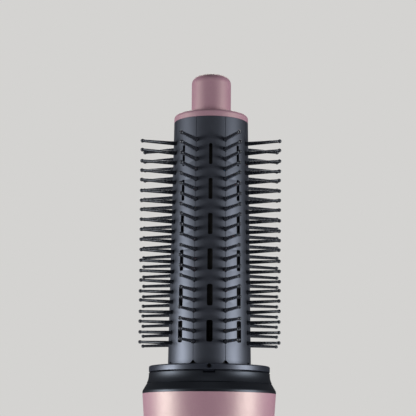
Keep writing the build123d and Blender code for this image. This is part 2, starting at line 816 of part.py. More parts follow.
def cord_gland():
    """Turning cord outlet, flared at its mouth, grooved for its retainer."""
    groove_low = foot_thickness + retainer_gap
    groove_high = groove_low + retainer_height + 2 * retainer_gap
    flare_top = foot_recess_depth - 0.4
    body = turned((gland_bore_r, gland_lift, 0.3), (gland_flare_r, gland_lift, 0.6),
                  (gland_flare_r, flare_top - 0.6), (gland_r, flare_top + 0.2),
                  (gland_r, gland_top), (gland_bore_r, gland_top))
    return body - tube(gland_r + 1, gland_r - gland_groove_depth, groove_low, groove_high)


def gland_retainer():
    """Open ring in the gland's groove, resting on the foot's floor."""
    inner = gland_r - gland_groove_depth + retainer_gap
    low = foot_thickness + 2 * retainer_gap
    return tube(retainer_r, inner, low, low + retainer_height - 2 * retainer_gap)


def slip_ring_block():
    """Fixed contact block above the turning gland."""
    low = gland_top + slip_ring_gap
    block_body = cylinder(slip_ring_r, low, low + slip_ring_height)
    arm = block(-cage_r + cage_wall + 0.1, cage_r - cage_wall - 0.1, -1.5, 1.5, low, low + 2.5)
    return block_body + (arm & cylinder(cage_r - cage_wall, low, low + 3))


def mains_leads():
    """Two leads from the contact block to the board's lower edge."""
    low = gland_top + slip_ring_gap + slip_ring_height
    high = board_foot_height
    middle = (low + high) / 2
    leads = []
    for side in (-1, 1):
        x = side * lead_spacing / 2
        y = -board_front + board_thickness / 2
        bend = (high - low) / 5
        route = FilletPolyline((x, 0, low), (x, 0, middle - bend), (x, y, middle + bend), (x, y, high),
                               radius=bend * 0.8)
        section = Plane(origin=(x, 0, low), z_dir=(0, 0, 1)) * Circle(lead_r)
        leads.append(sweep(section, path=route).solid())
    return Compound(children=leads)


# ================================================================== brush head
def barrel_r(z):
    """Outer radius of the coned barrel at a height."""
    share = (z - flange_top) / barrel_length
    return barrel_foot_r + (barrel_top_r - barrel_foot_r) * share


def pin_levels():
    """Heights of one row's pins."""
    return [lowest_pin + pin * pin_pitch for pin in range(pins_per_row)]


def coned_ring(gap, wall, low, high):
    """Coned tube inside the barrel: gap below its outer surface, wall thickness inwards."""
    return turned((barrel_r(low) - gap - wall, low), (barrel_r(low) - gap, low),
                  (barrel_r(high) - gap, high), (barrel_r(high) - gap - wall, high))


def slot_cutter(level, width):
    """Bar along -Y with a slot's rounded outline."""
    outline = RectangleRounded(width, slot_length, slot_corner * width / 2)
    return Pos(0, -barrel_foot_r / 2, level) * extrude(Plane.XZ * outline, barrel_foot_r)


def barrel():
    """Coned metal tube with slot columns, pin holes and V notches at its foot."""
    shell = coned_ring(0, barrel_wall, flange_top, barrel_top)
    cutters = []
    for index in range(slots_per_column):
        share = index / (slots_per_column - 1)
        width = slot_width_foot + (slot_width_top - slot_width_foot) * share
        level = lowest_pin + pin_pitch * (1 + pins_per_slot * index)
        cutters += around(slot_cutter(level, width), row_count)
    first = -90 + row_angle / 2
    for z in pin_levels():
        hole = outwards(pin_hole_r, z, barrel_top_r / 2, barrel_foot_r + 2)
        cutters += around(hole, row_count, first)
    half = notch_width / 2
    wedge = Polyline((-half, -0.5), (-half, 0), (0, notch_height), (half, 0), (half, -0.5), (-half, -0.5))
    notch = Pos(0, 0, flange_top) * extrude(Plane.XZ * make_face(wedge), 2 * barrel_foot_r)
    cutters += around(notch, row_count, row_angle / 2)
    floor = [(barrel_r(z) - seam_line_depth, z) for z in (flange_top - 1, barrel_top + 1)]
    line_outline = Polyline(floor[0], (2 * barrel_foot_r, flange_top - 1),
                            (2 * barrel_foot_r, barrel_top + 1), floor[1], floor[0])
    line = extrude(make_face(Plane.XZ * line_outline), seam_line_width / 2, both=True)
    cutters += around(line, row_count, first)
    return shell - cutters


def bristle_strip():
    """Backing bar with its row of ball-tipped pins, pointing along +X."""
    gap = barrel_wall + 0.1
    low = flange_top + carrier_foot_height / 2
    high = barrel_top - ring_height - plug_height - 1.0
    bar_outline = Polyline((barrel_r(low) - gap - strip_thickness, low), (barrel_r(low) - gap, low),
                           (barrel_r(high) - gap, high), (barrel_r(high) - gap - strip_thickness, high),
                           (barrel_r(low) - gap - strip_thickness, low))
    bar = extrude(make_face(Plane.XZ * bar_outline), strip_width / 2, both=True)
    pins = []
    for pin, z in enumerate(pin_levels()):
        share = pin / (pins_per_row - 1)
        ball = reach_foot + (reach_top - reach_foot) * share - pin_ball_r
        root = barrel_r(z) - gap - strip_thickness / 2
        shaft = Cone(pin_root_r, pin_neck_r, ball - root, align=(Align.CENTER, Align.CENTER, Align.MIN))
        pins.append(Pos(root, 0, z) * Rot(0, 90, 0) * shaft)
        pins.append(Pos(ball, 0, z) * Sphere(pin_ball_r))
    return bar + pins


def strip_carrier():
    """Cage with grooves for the strips and windows behind the slots."""
    gap = barrel_wall + 0.15
    low = flange_top
    high = barrel_top - ring_height - plug_height - 0.3
    cage = coned_ring(gap, carrier_wall, low, high)
    foot_inner = barrel_foot_r - gap - carrier_foot_wall
    cage += tube(barrel_foot_r - gap - carrier_wall / 2 - 0.3, foot_inner, low,
                 low + carrier_foot_height)
    half = window_width / 2
    window = block(-half, half, -2 * barrel_foot_r, -barrel_top_r / 2, low + carrier_foot_height,
                   high - carrier_top_height)
    groove_half = strip_width / 2 + 0.05
    strip_low = flange_top + carrier_foot_height / 2 - 0.1
    inner = gap - 0.05 + strip_thickness + 0.1
    groove_outline = Polyline((barrel_r(strip_low) - inner, strip_low), (2 * barrel_foot_r, strip_low),
                              (2 * barrel_foot_r, high + 1), (barrel_r(high + 1) - inner, high + 1),
                              (barrel_r(strip_low) - inner, strip_low))
    groove = extrude(make_face(Plane.XZ * groove_outline), groove_half, both=True)
    pilots = [Rot(0, 0, 45) * hole for hole in
              flange_screw_bars(flange_screw_r, low - 1, low + flange_screw_bite + 0.2)]
    return cage - around(window, row_count) - around(groove, row_count, -90 + row_angle / 2) - pilots


def flange_screw_bars(radius, low, high):
    """Bars at the places of the flange's screws."""
    bar = Pos(flange_screw_circle_r, 0, 0) * cylinder(radius, low, high)
    return around(bar, flange_screw_count)


def base_flange():
    """Flange with its spigot, seal and detent grooves, key and index hole."""
    plate = turned((air_hole_r, flange_foot), (neck_r, flange_foot, 0.15), (neck_r, flange_top, flange_round),
                   (barrel_foot_r + 0.4, flange_top), (air_hole_r, flange_top))
    spigot = tube(spigot_r, spigot_r - spigot_wall, spigot_foot, flange_foot + 0.5)
    detent_level = handle_height + detent_height
    reach = detent_wire_r + 0.35
    groove = tube(spigot_r + 1, detent_centre_r - detent_wire_r - 0.2, detent_level - reach,
                  detent_level + reach)
    seal_groove = tube(spigot_r + 1, seal_floor_r(), seal_level - seal_r - 0.1, seal_level + seal_r + 0.1)
    key = block(-key_width / 2, key_width / 2, -spigot_r - 1.9, -spigot_r - 1.9 + key_thickness,
                flange_foot - key_height + 0.3, flange_foot + 0.5)
    index = outwards(index_hole_r, index_level, neck_r - index_hole_depth, neck_r + 1, -90)
    index_bore = outwards(index_pin_r, index_level, neck_r - index_recess - index_pin_length, neck_r, -90)
    holes = [Rot(0, 0, 45) * hole for hole in
             flange_screw_bars(flange_screw_r, flange_foot - 1, flange_top + 1)]
    return plate + spigot + key - groove - seal_groove - index - index_bore - holes


def seal_floor_r():
    """Floor radius of the seal's groove."""
    return socket_r - seal_gap - 2 * seal_r - 0.02


def spigot_seal():
    """Silicone ring in the spigot's lower groove."""
    return Pos(0, 0, seal_level) * Torus(socket_r - seal_gap - seal_r, seal_r)


def index_pin():
    """Blackened alignment pin in its dark hole."""
    end = neck_r - index_recess
    return outwards(index_pin_r, index_level, end - index_pin_length, end, -90)


def flange_screws():
    """Screws from below the flange into the carrier."""
    shanks = flange_screw_bars(flange_screw_r, flange_foot, flange_top + flange_screw_bite)
    heads = flange_screw_bars(flange_head_r, flange_foot - flange_head_height, flange_foot)
    screws = [Rot(0, 0, 45) * (shank + head) for shank, head in zip(shanks, heads)]
    return Compound(children=[screw.solid() for screw in screws])


def top_plug():
    """Insulating plug between the strips' ends and the end ring."""
    low = barrel_top - ring_height - plug_height
    high = barrel_top - ring_height
    radius = barrel_r(high) - barrel_wall - 0.15
    plug = cylinder(radius, low, low + plug_web) + tube(radius, radius - plug_rim, low, high)
    plug += tube(tip_post_r + 1.2, tip_post_r, low + plug_web - 0.1, low + plug_web + 1.2)
    return plug - cylinder(tip_screw_r, low - 1, high)


def end_ring():
    """Collar that closes the barrel, with a skirt down to the plug."""
    top = barrel_top + ring_height
    skirt = barrel_top - ring_height
    inner = barrel_r(barrel_top) - barrel_wall - 0.12
    return turned((tip_post_r + 0.15, top), (barrel_top_r, top, ring_round),
                  (barrel_top_r, barrel_top + ring_lip), (barrel_top_r - ring_lip, barrel_top),
                  (inner, barrel_top), (inner, skirt),
                  (inner - ring_skirt_wall, skirt), (inner - ring_skirt_wall, barrel_top + 0.6),
                  (tip_post_r + 0.15, barrel_top + 0.6))


def cool_tip():
    """Hollow finger tip with the post that takes its screw."""
    low = barrel_top + ring_height
    high = low + tip_height
    shoulder = high - tip_dome
    outer = turned((0, low), (tip_r - 0.4, low), (tip_r - 0.4, low + tip_reveal),
                   (tip_r, low + tip_reveal, 0.2), (tip_r, shoulder - 0.2, tip_round), (0, high))
    hollow = turned((tip_post_r, low - 1), (tip_r - tip_wall, low - 1),
                    (tip_r - tip_wall, shoulder - tip_wall, tip_round / 2), (tip_post_r, high - tip_wall - 0.4))
    post_foot = barrel_top - ring_height - plug_height + plug_web
    post = cylinder(tip_post_r, post_foot, low + 1)
    return outer - hollow + post - cylinder(tip_screw_r, post_foot - 1, low + tip_screw_bite + 1)


def tip_screw():
    """Screw from inside the barrel into the cool tip's post."""
    seat = barrel_top - ring_height - plug_height
    shank = cylinder(tip_screw_r, seat, barrel_top + ring_height + tip_screw_bite)
    head = cylinder(tip_screw_head_r, seat - tip_screw_head_height, seat)
    return shank + head


def air_guide():
    """Hollow cone under the plug that spreads the air to the slots."""
    top = barrel_top - ring_height - plug_height
    low = flange_top + guide_foot_gap
    return turned((0, low), (guide_foot_r, low, 0.8), (guide_top_r, top), (guide_top_r - guide_wall, top),
                  (0, low + (top - low) * guide_solid_share))


# ================================================================== build
def main():
    os.makedirs("parts", exist_ok=True)
    shell = housing_shell()
    strip = bristle_strip()
    pieces = {
        "front_housing": front_housing(shell), "rear_housing": rear_housing(shell),
        "housing_screws": housing_screws(), "control_inlay": control_inlay(),
        "slider_knob": slider_knob(), "cool_shot_button": cool_shot_button(),
        "switch_plunger": switch_plunger(), "indicator_lens": indicator_lens(),
        "control_board": control_board(), "slide_switch": slide_switch(),
        "button_switch": button_switch(), "rectifier": rectifier(), "capacitor": capacitor(),
        "neck_collar": neck_collar(), "detent_ring": detent_ring(), "outlet_grille": outlet_grille(),
        "heater_tube": heater_tube(), "mica_liner": mica_liner(),
        "heating_coil_outer": heating_coil(outer_coil_turn_r),
        "heating_coil_inner": heating_coil(inner_coil_turn_r),
        "thermostat": thermostat(), "thermal_fuse": thermal_fuse(),
        "motor_holder": motor_holder(), "motor_can": motor_can(), "motor_screws": motor_screws(),
        "motor_magnets": motor_magnets(), "motor_end_bell": motor_end_bell(),
        "armature": armature(), "motor_shaft": motor_shaft(), "impeller": impeller(),
        "inlet_cage": inlet_cage(), "filter_cover": filter_cover(), "filter_mesh": filter_mesh(),
        "base_cap": base_cap(), "cord_gland": cord_gland(), "gland_retainer": gland_retainer(),
        "slip_ring_block": slip_ring_block(), "mains_leads": mains_leads(),
        "barrel": barrel(), "strip_carrier": strip_carrier(), "base_flange": base_flange(),
        "spigot_seal": spigot_seal(), "index_pin": index_pin(), "flange_screws": flange_screws(),
        "top_plug": top_plug(), "end_ring": end_ring(), "cool_tip": cool_tip(),
        "tip_screw": tip_screw(), "air_guide": air_guide(),
    }
    middle = (card_foot_level + card_top_level) / 2
    pieces["heater_card_a"] = heater_card(card_foot_level - 1, middle)
    pieces["heater_card_b"] = Rot(0, 0, 90) * heater_card(middle, card_top_level + 1)
    for row in range(row_count):
        pieces[f"bristle_strip_{row + 1}"] = Rot(0, 0, -90 + row_angle * (row + 0.5)) * strip
    for name, shape in pieces.items():
        save(name, shape)


main()
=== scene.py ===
"""Looks of a hot air brush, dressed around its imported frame.

The sizes in the classes are millimetres, and MM turns them into Blender's metres. Up is +Z, the
brush stands on its foot at the origin, and its controls face -Y.
"""
import logging
import math
from dataclasses import dataclass, field
from enum import Enum

import bmesh
import bpy
from mathutils import Matrix, Vector


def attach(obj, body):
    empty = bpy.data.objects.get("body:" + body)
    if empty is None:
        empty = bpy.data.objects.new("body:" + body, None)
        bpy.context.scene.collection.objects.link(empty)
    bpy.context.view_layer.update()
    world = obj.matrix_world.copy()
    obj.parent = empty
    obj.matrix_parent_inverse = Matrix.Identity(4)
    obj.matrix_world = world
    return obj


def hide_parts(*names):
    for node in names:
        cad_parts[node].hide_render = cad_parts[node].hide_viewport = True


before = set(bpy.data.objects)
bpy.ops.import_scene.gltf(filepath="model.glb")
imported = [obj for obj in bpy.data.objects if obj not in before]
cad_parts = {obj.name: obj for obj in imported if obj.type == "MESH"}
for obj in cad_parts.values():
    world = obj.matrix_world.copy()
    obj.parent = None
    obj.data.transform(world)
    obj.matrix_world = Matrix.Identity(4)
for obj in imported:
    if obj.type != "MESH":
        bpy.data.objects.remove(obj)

MM = 0.001
FULL_TURN = 2 * math.pi
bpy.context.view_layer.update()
NODES: dict[str, bpy.types.Object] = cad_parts
Socket = bpy.types.NodeSocket
Source = bpy.types.NodeSocket | bpy.types.Node    # a node stands for its first output

log = logging.getLogger("hot_air_brush")


# ------------------------------------------------------------------ node and colour helpers
def add(tree: bpy.types.NodeTree, kind: str, inputs: dict | None = None, **settings) -> bpy.types.Node:
    """Add one node with its settings, values and links.

    Args:
        tree: Tree that receives the node.
        kind: Blender's type name of the node.
        inputs: Socket name or number to a value, a source of a link, or a list of sources.
        settings: Properties of the node itself.

    Returns:
        The new node.
    """
    node = tree.nodes.new(kind)
    for name, value in settings.items():
        setattr(node, name, value)
    for key, given in (inputs or {}).items():
        for value in reversed(given) if isinstance(given, list) else (given,):
            if isinstance(value, bpy.types.Node):
                value = value.outputs[0]
            if isinstance(value, Socket):
                tree.links.new(value, node.inputs[key])
            else:
                node.inputs[key].default_value = value
    return node


def linear(code: str) -> tuple[float, float, float, float]:
    """Turn an sRGB hex colour into Blender's linear colour.

    Args:
        code: Six hex digits after a hash sign.

    Returns:
        Red, green, blue and an alpha of one.
    """
    channels = [int(code[place:place + 2], 16) / 255 for place in (1, 3, 5)]
    red, green, blue = [c / 12.92 if c <= 0.04045 else ((c + 0.055) / 1.055) ** 2.4 for c in channels]
    return red, green, blue, 1.0


# ------------------------------------------------------------------ finishes
# Sockets of a Mix node that mixes two colours, which share their names with those for numbers.
MIX_SHARE, MIX_FIRST, MIX_SECOND, MIXED = 0, 6, 7, 2

# Scale at which Blender's wave repeats about once in a unit.
ONE_WAVE = 1.0 / math.pi


class Texture(Enum):
    """What a pattern on a surface is drawn with."""

    NOISE = "soft irregular relief"
    FLAKES = "small cells, each with its own value"
    BANDS = "even parallel lines"


@dataclass(frozen=True)
class Pattern:
    """One layer of detail on a finish.

    Args:
        texture: What draws the layer.
        size: Width of one feature in millimetres.
        tint: Share of the finish's second colour where the layer is strongest.
        rough: Roughness added from the layer's lowest to its highest value.
        relief: Height of the layer's bumps in millimetres.
        stretch: How much longer a feature is along X, Y and Z.
        detail: Finer octaves of a noise.
    """

    texture: Texture
    size: float
    tint: float = 0.0
    rough: float = 0.0
    relief: float = 0.0
    stretch: tuple[float, float, float] = (1.0, 1.0, 1.0)
    detail: float = 2.0

    def draw(self, tree: bpy.types.NodeTree, place: Socket) -> Socket:
        """Draw the layer's values from 0 to 1.

        Args:
            tree: The material's tree.
            place: Coordinates on the object, in metres.

        Returns:
            The socket that holds the values.
        """
        scale = tuple(1 / (self.size * MM * longer) for longer in self.stretch)
        features = add(tree, "ShaderNodeMapping", {"Vector": place, "Scale": scale})
        if self.texture is Texture.FLAKES:
            cells = add(tree, "ShaderNodeTexVoronoi", {"Vector": features, "Scale": 1.0})
            return add(tree, "ShaderNodeSeparateColor", {0: cells.outputs["Color"]}).outputs[0]
        if self.texture is Texture.BANDS:
            bands = add(tree, "ShaderNodeTexWave", {"Vector": features, "Scale": ONE_WAVE},
                        wave_type="BANDS", bands_direction="Z")
            return bands.outputs["Fac"]
        noise = add(tree, "ShaderNodeTexNoise", {"Vector": features, "Scale": 1.0, "Detail": self.detail})
        return noise.outputs["Fac"]


@dataclass(frozen=True)
class Finish:
    """A real material and how its surface was made.

    Args:
        name: Name of the material.
        colour: Main colour, sRGB hex.
        second: Colour that the patterns' tint leads to, sRGB hex.
        roughness: Roughness of the bare surface.
        patterns: Layers of detail.
        metallic: One for a metal, a share for a metallic paint.
        ior: Index of refraction, at Blender's own value on metals.
        settings: Other values for the shader's own sockets.
    """

    name: str
    colour: str
    second: str
    roughness: float
    patterns: tuple[Pattern, ...]
    metallic: float = 0.0
    ior: float = 1.5
    settings: tuple[tuple[str, float | tuple[float, ...]], ...] = ()

    def build(self) -> bpy.types.Material:
        """Build the material.

        Returns:
            The finished Blender material.
        """
        material = bpy.data.materials.new(self.name)
        material.use_nodes = True
        tree = material.node_tree
        tree.nodes.clear()
        place = add(tree, "ShaderNodeTexCoord").outputs["Object"]
        shader = add(tree, "ShaderNodeBsdfPrincipled", {
            "Base Color": linear(self.colour), "Roughness": self.roughness,
            "Metallic": self.metallic, "IOR": self.ior, **dict(self.settings)})
        colour = rough = normal = None
        for pattern in self.patterns:
            value = pattern.draw(tree, place)
            if pattern.tint:
                share = add(tree, "ShaderNodeMath", {0: value, 1: pattern.tint}, operation="MULTIPLY")
                before = linear(self.colour) if colour is None else colour
                mixed = add(tree, "ShaderNodeMix", {
                    MIX_SHARE: share, MIX_FIRST: before, MIX_SECOND: linear(self.second)}, data_type="RGBA")
                colour = mixed.outputs[MIXED]
            if pattern.rough:
                before = self.roughness - pattern.rough / 2 if rough is None else rough
                rough = add(tree, "ShaderNodeMath", {0: value, 1: pattern.rough, 2: before},
                            operation="MULTIPLY_ADD").outputs[0]
            if pattern.relief:
                bump = add(tree, "ShaderNodeBump", {"Height": value, "Distance": pattern.relief * MM})
                if normal is not None:
                    tree.links.new(normal, bump.inputs["Normal"])
                normal = bump.outputs["Normal"]
        for socket, source in (("Base Color", colour), ("Roughness", rough), ("Normal", normal)):
            if source is not None:
                tree.links.new(source, shader.inputs[socket])
        add(tree, "ShaderNodeOutputMaterial", {"Surface": shader})
        return material


# Sprayed pearl lacquer over ABS: fine flakes that sparkle, a wide satin highlight of their own warm
# tone, and the faint orange peel of a spray coat.
ROSE_LACQUER = Finish(
    "rose_pearl_lacquer_on_abs", "#d69bb6", "#e4c8c5", 0.46,
    (Pattern(Texture.FLAKES, 0.20, tint=0.26, rough=0.10),   # flakes of 0.03 mm, drawn coarser to show
     Pattern(Texture.NOISE, 1.6, relief=0.010, rough=0.04),
     Pattern(Texture.NOISE, 22.0, tint=0.10, rough=0.03)),
    metallic=0.08, ior=1.9,
    settings=(("Specular IOR Level", 0.9), ("Specular Tint", (0.94, 1.0, 0.76, 1.0))))

# Coated, bead-blasted aluminium: a dark satin tube with a fine even grain.
BARREL_COATING = Finish(
    "ceramic_coated_blasted_aluminium", "#696e79", "#838994", 0.48,
    (Pattern(Texture.NOISE, 0.30, tint=0.45, rough=0.10, relief=0.010, detail=4.0),
     Pattern(Texture.NOISE, 14.0, tint=0.15, rough=0.05)),
    metallic=1.0)

# Black nylon moulding under a satin lacquer: very dark, with a soft, slightly blue shine.
BLACK_MOULDING = Finish(
    "satin_lacquered_black_moulding", "#07080b", "#0e1015", 0.42,
    (Pattern(Texture.NOISE, 0.35, tint=0.5, rough=0.10, relief=0.012, detail=3.0),
     Pattern(Texture.NOISE, 12.0, tint=0.25, rough=0.05)),
    ior=1.6, settings=(("Specular IOR Level", 0.8), ("Specular Tint", (0.74, 0.84, 1.0, 1.0))))

# The same lacquer with a little aluminium powder in it, on the flange: a brighter blue-grey shine.
FLANGE_LACQUER = Finish(
    "powdered_satin_lacquer_on_nylon", "#171a22", "#272b35", 0.40,
    (Pattern(Texture.NOISE, 0.35, tint=0.5, rough=0.10, relief=0.010, detail=3.0),
     Pattern(Texture.NOISE, 12.0, tint=0.25, rough=0.05)),
    ior=1.8, settings=(("Specular IOR Level", 0.8), ("Specular Tint", (0.74, 0.82, 1.0, 1.0))))

# Polished black ABS under a clear coat: the control panel's deep gloss, with hairline wear.
GLOSS_BLACK = Finish(
    "polished_black_abs", "#0f1014", "#1c1e24", 0.12,
    (Pattern(Texture.NOISE, 3.0, rough=0.05, tint=0.3, stretch=(1.0, 1.0, 6.0)),
     Pattern(Texture.NOISE, 18.0, tint=0.3, rough=0.05, relief=0.006)),
    settings=(("Coat Weight", 0.6), ("Coat Roughness", 0.05)))

# Extruded nylon filament with a melted ball tip: dark grey, a little translucent along its edges.
BRISTLE_NYLON = Finish(
    "ball_tipped_nylon_bristle", "#292b31", "#3d3f47", 0.27,
    (Pattern(Texture.NOISE, 0.6, tint=0.5, rough=0.08, relief=0.006),
     Pattern(Texture.NOISE, 9.0, tint=0.5)),
    ior=1.6, settings=(("Specular IOR Level", 0.8), ("Specular Tint", (0.84, 0.91, 1.0, 1.0)),
                       ("Subsurface Weight", 0.05), ("Subsurface Scale", 0.0008)))

# Glass-filled PPS moulding inside the brush: dull dark grey with short pale fibres.
INNER_MOULDING = Finish(
    "glass_filled_pps", "#1b1b1a", "#3a3936", 0.62,
    (Pattern(Texture.NOISE, 0.5, tint=0.45, rough=0.1, relief=0.02, stretch=(1.0, 1.0, 5.0), detail=3.0),
     Pattern(Texture.NOISE, 10.0, tint=0.2)))

# Drawn and zinc-plated steel: bright, with fine lines along the draw.
PLATED_STEEL = Finish(
    "zinc_plated_steel", "#b9bcc2", "#8d9098", 0.30,
    (Pattern(Texture.NOISE, 0.25, tint=0.4, rough=0.16, relief=0.004, stretch=(1.0, 1.0, 14.0)),
     Pattern(Texture.NOISE, 6.0, tint=0.25, rough=0.08)),
    metallic=1.0)

# Steel with a black oxide: nearly black, with a dull edge.
BLACKENED_STEEL = Finish(
    "black_oxide_steel", "#08080a", "#15151a", 0.45,
    (Pattern(Texture.NOISE, 0.3, tint=0.5, rough=0.12, relief=0.004),
     Pattern(Texture.NOISE, 2.0, tint=0.4)),
    metallic=0.3)

# Phlogopite mica sheet: silvery amber with a flaky, layered sheen.
MICA_SHEET = Finish(
    "phlogopite_mica_sheet", "#a08a66", "#d9cba7", 0.42,
    (Pattern(Texture.FLAKES, 1.8, tint=0.55, rough=0.14, relief=0.01, stretch=(1.0, 1.0, 1.6)),
     Pattern(Texture.NOISE, 5.0, tint=0.3)),
    ior=1.58)

# Oxidised nickel-chrome wire: dark grey-brown with a heat tint.
HEATING_WIRE = Finish(
    "oxidised_nichrome_wire", "#5b524c", "#8a6f57", 0.46,
    (Pattern(Texture.NOISE, 0.8, tint=0.7, rough=0.14, relief=0.006),
     Pattern(Texture.NOISE, 7.0, tint=0.4)),
    metallic=0.9)

# Sintered ferrite and stacked laminations: dull charcoal with a fine grit.
FERRITE = Finish(
    "sintered_ferrite", "#3a3a3c", "#555457", 0.62,
    (Pattern(Texture.NOISE, 0.3, tint=0.6, rough=0.12, relief=0.02, detail=4.0),
     Pattern(Texture.BANDS, 0.5, tint=0.3, relief=0.02)),
    metallic=0.4)

# Epoxy-glass laminate under green solder mask: a smooth green with the weave showing through.
BOARD_LAMINATE = Finish(
    "epoxy_glass_laminate", "#1f5a3c", "#3f8257", 0.34,
    (Pattern(Texture.BANDS, 0.8, tint=0.45, relief=0.006),
     Pattern(Texture.NOISE, 0.8, tint=0.35, rough=0.1, stretch=(5.0, 1.0, 1.0))),
    ior=1.55)

# Polyester film wrapped round a capacitor: a shiny ochre sleeve.
CAPACITOR_FILM = Finish(
    "polyester_capacitor_film", "#b8862f", "#d9b061", 0.28,
    (Pattern(Texture.NOISE, 1.2, tint=0.4, rough=0.1, relief=0.01),
     Pattern(Texture.NOISE, 6.0, tint=0.2)),
    ior=1.57)

# Clear tinted acrylic light guide: bright inside, smooth outside.
LIGHT_GUIDE = Finish(
    "frosted_acrylic_light_guide", "#e9d9c4", "#ffffff", 0.20,
    (Pattern(Texture.NOISE, 0.6, tint=0.5, rough=0.12, relief=0.004),),
    ior=1.49, settings=(("Transmission Weight", 0.35),))

# Thermoplastic rubber: matt black with a faint bloom.
GLAND_RUBBER = Finish(
    "thermoplastic_rubber", "#18181a", "#2c2c2f", 0.66,
    (Pattern(Texture.NOISE, 0.5, tint=0.5, rough=0.12, relief=0.02, detail=3.0),
     Pattern(Texture.NOISE, 8.0, tint=0.4)),
    settings=(("Sheen Weight", 0.12), ("Sheen Roughness", 0.5)))

# Silicone cord: a soft translucent brick red.
SILICONE = Finish(
    "silicone_seal", "#8c3a2e", "#b25b4a", 0.48,
    (Pattern(Texture.NOISE, 0.6, tint=0.4, rough=0.1, relief=0.008),),
    ior=1.41, settings=(("Subsurface Weight", 0.15), ("Subsurface Scale", 0.001)))

# Silicone-rubber lead insulation: a smooth light grey sheath.
LEAD_SHEATH = Finish(
    "silicone_lead_sheath", "#9fa3a6", "#c3c6c8", 0.44,
    (Pattern(Texture.NOISE, 0.7, tint=0.4, rough=0.1, relief=0.008),))

# Matt painted studio floor: pale and nearly even.
STUDIO_FLOOR = Finish(
    "matt_studio_floor", "#f3f2ef", "#e9e8e4", 0.80,
    (Pattern(Texture.NOISE, 60.0, tint=0.5, rough=0.1),))


# ------------------------------------------------------------------ geometry helpers
POLE_WELD = 0.0001    # closes the poles of a bar
WELD = 0.001          # closes the seams of a finished piece


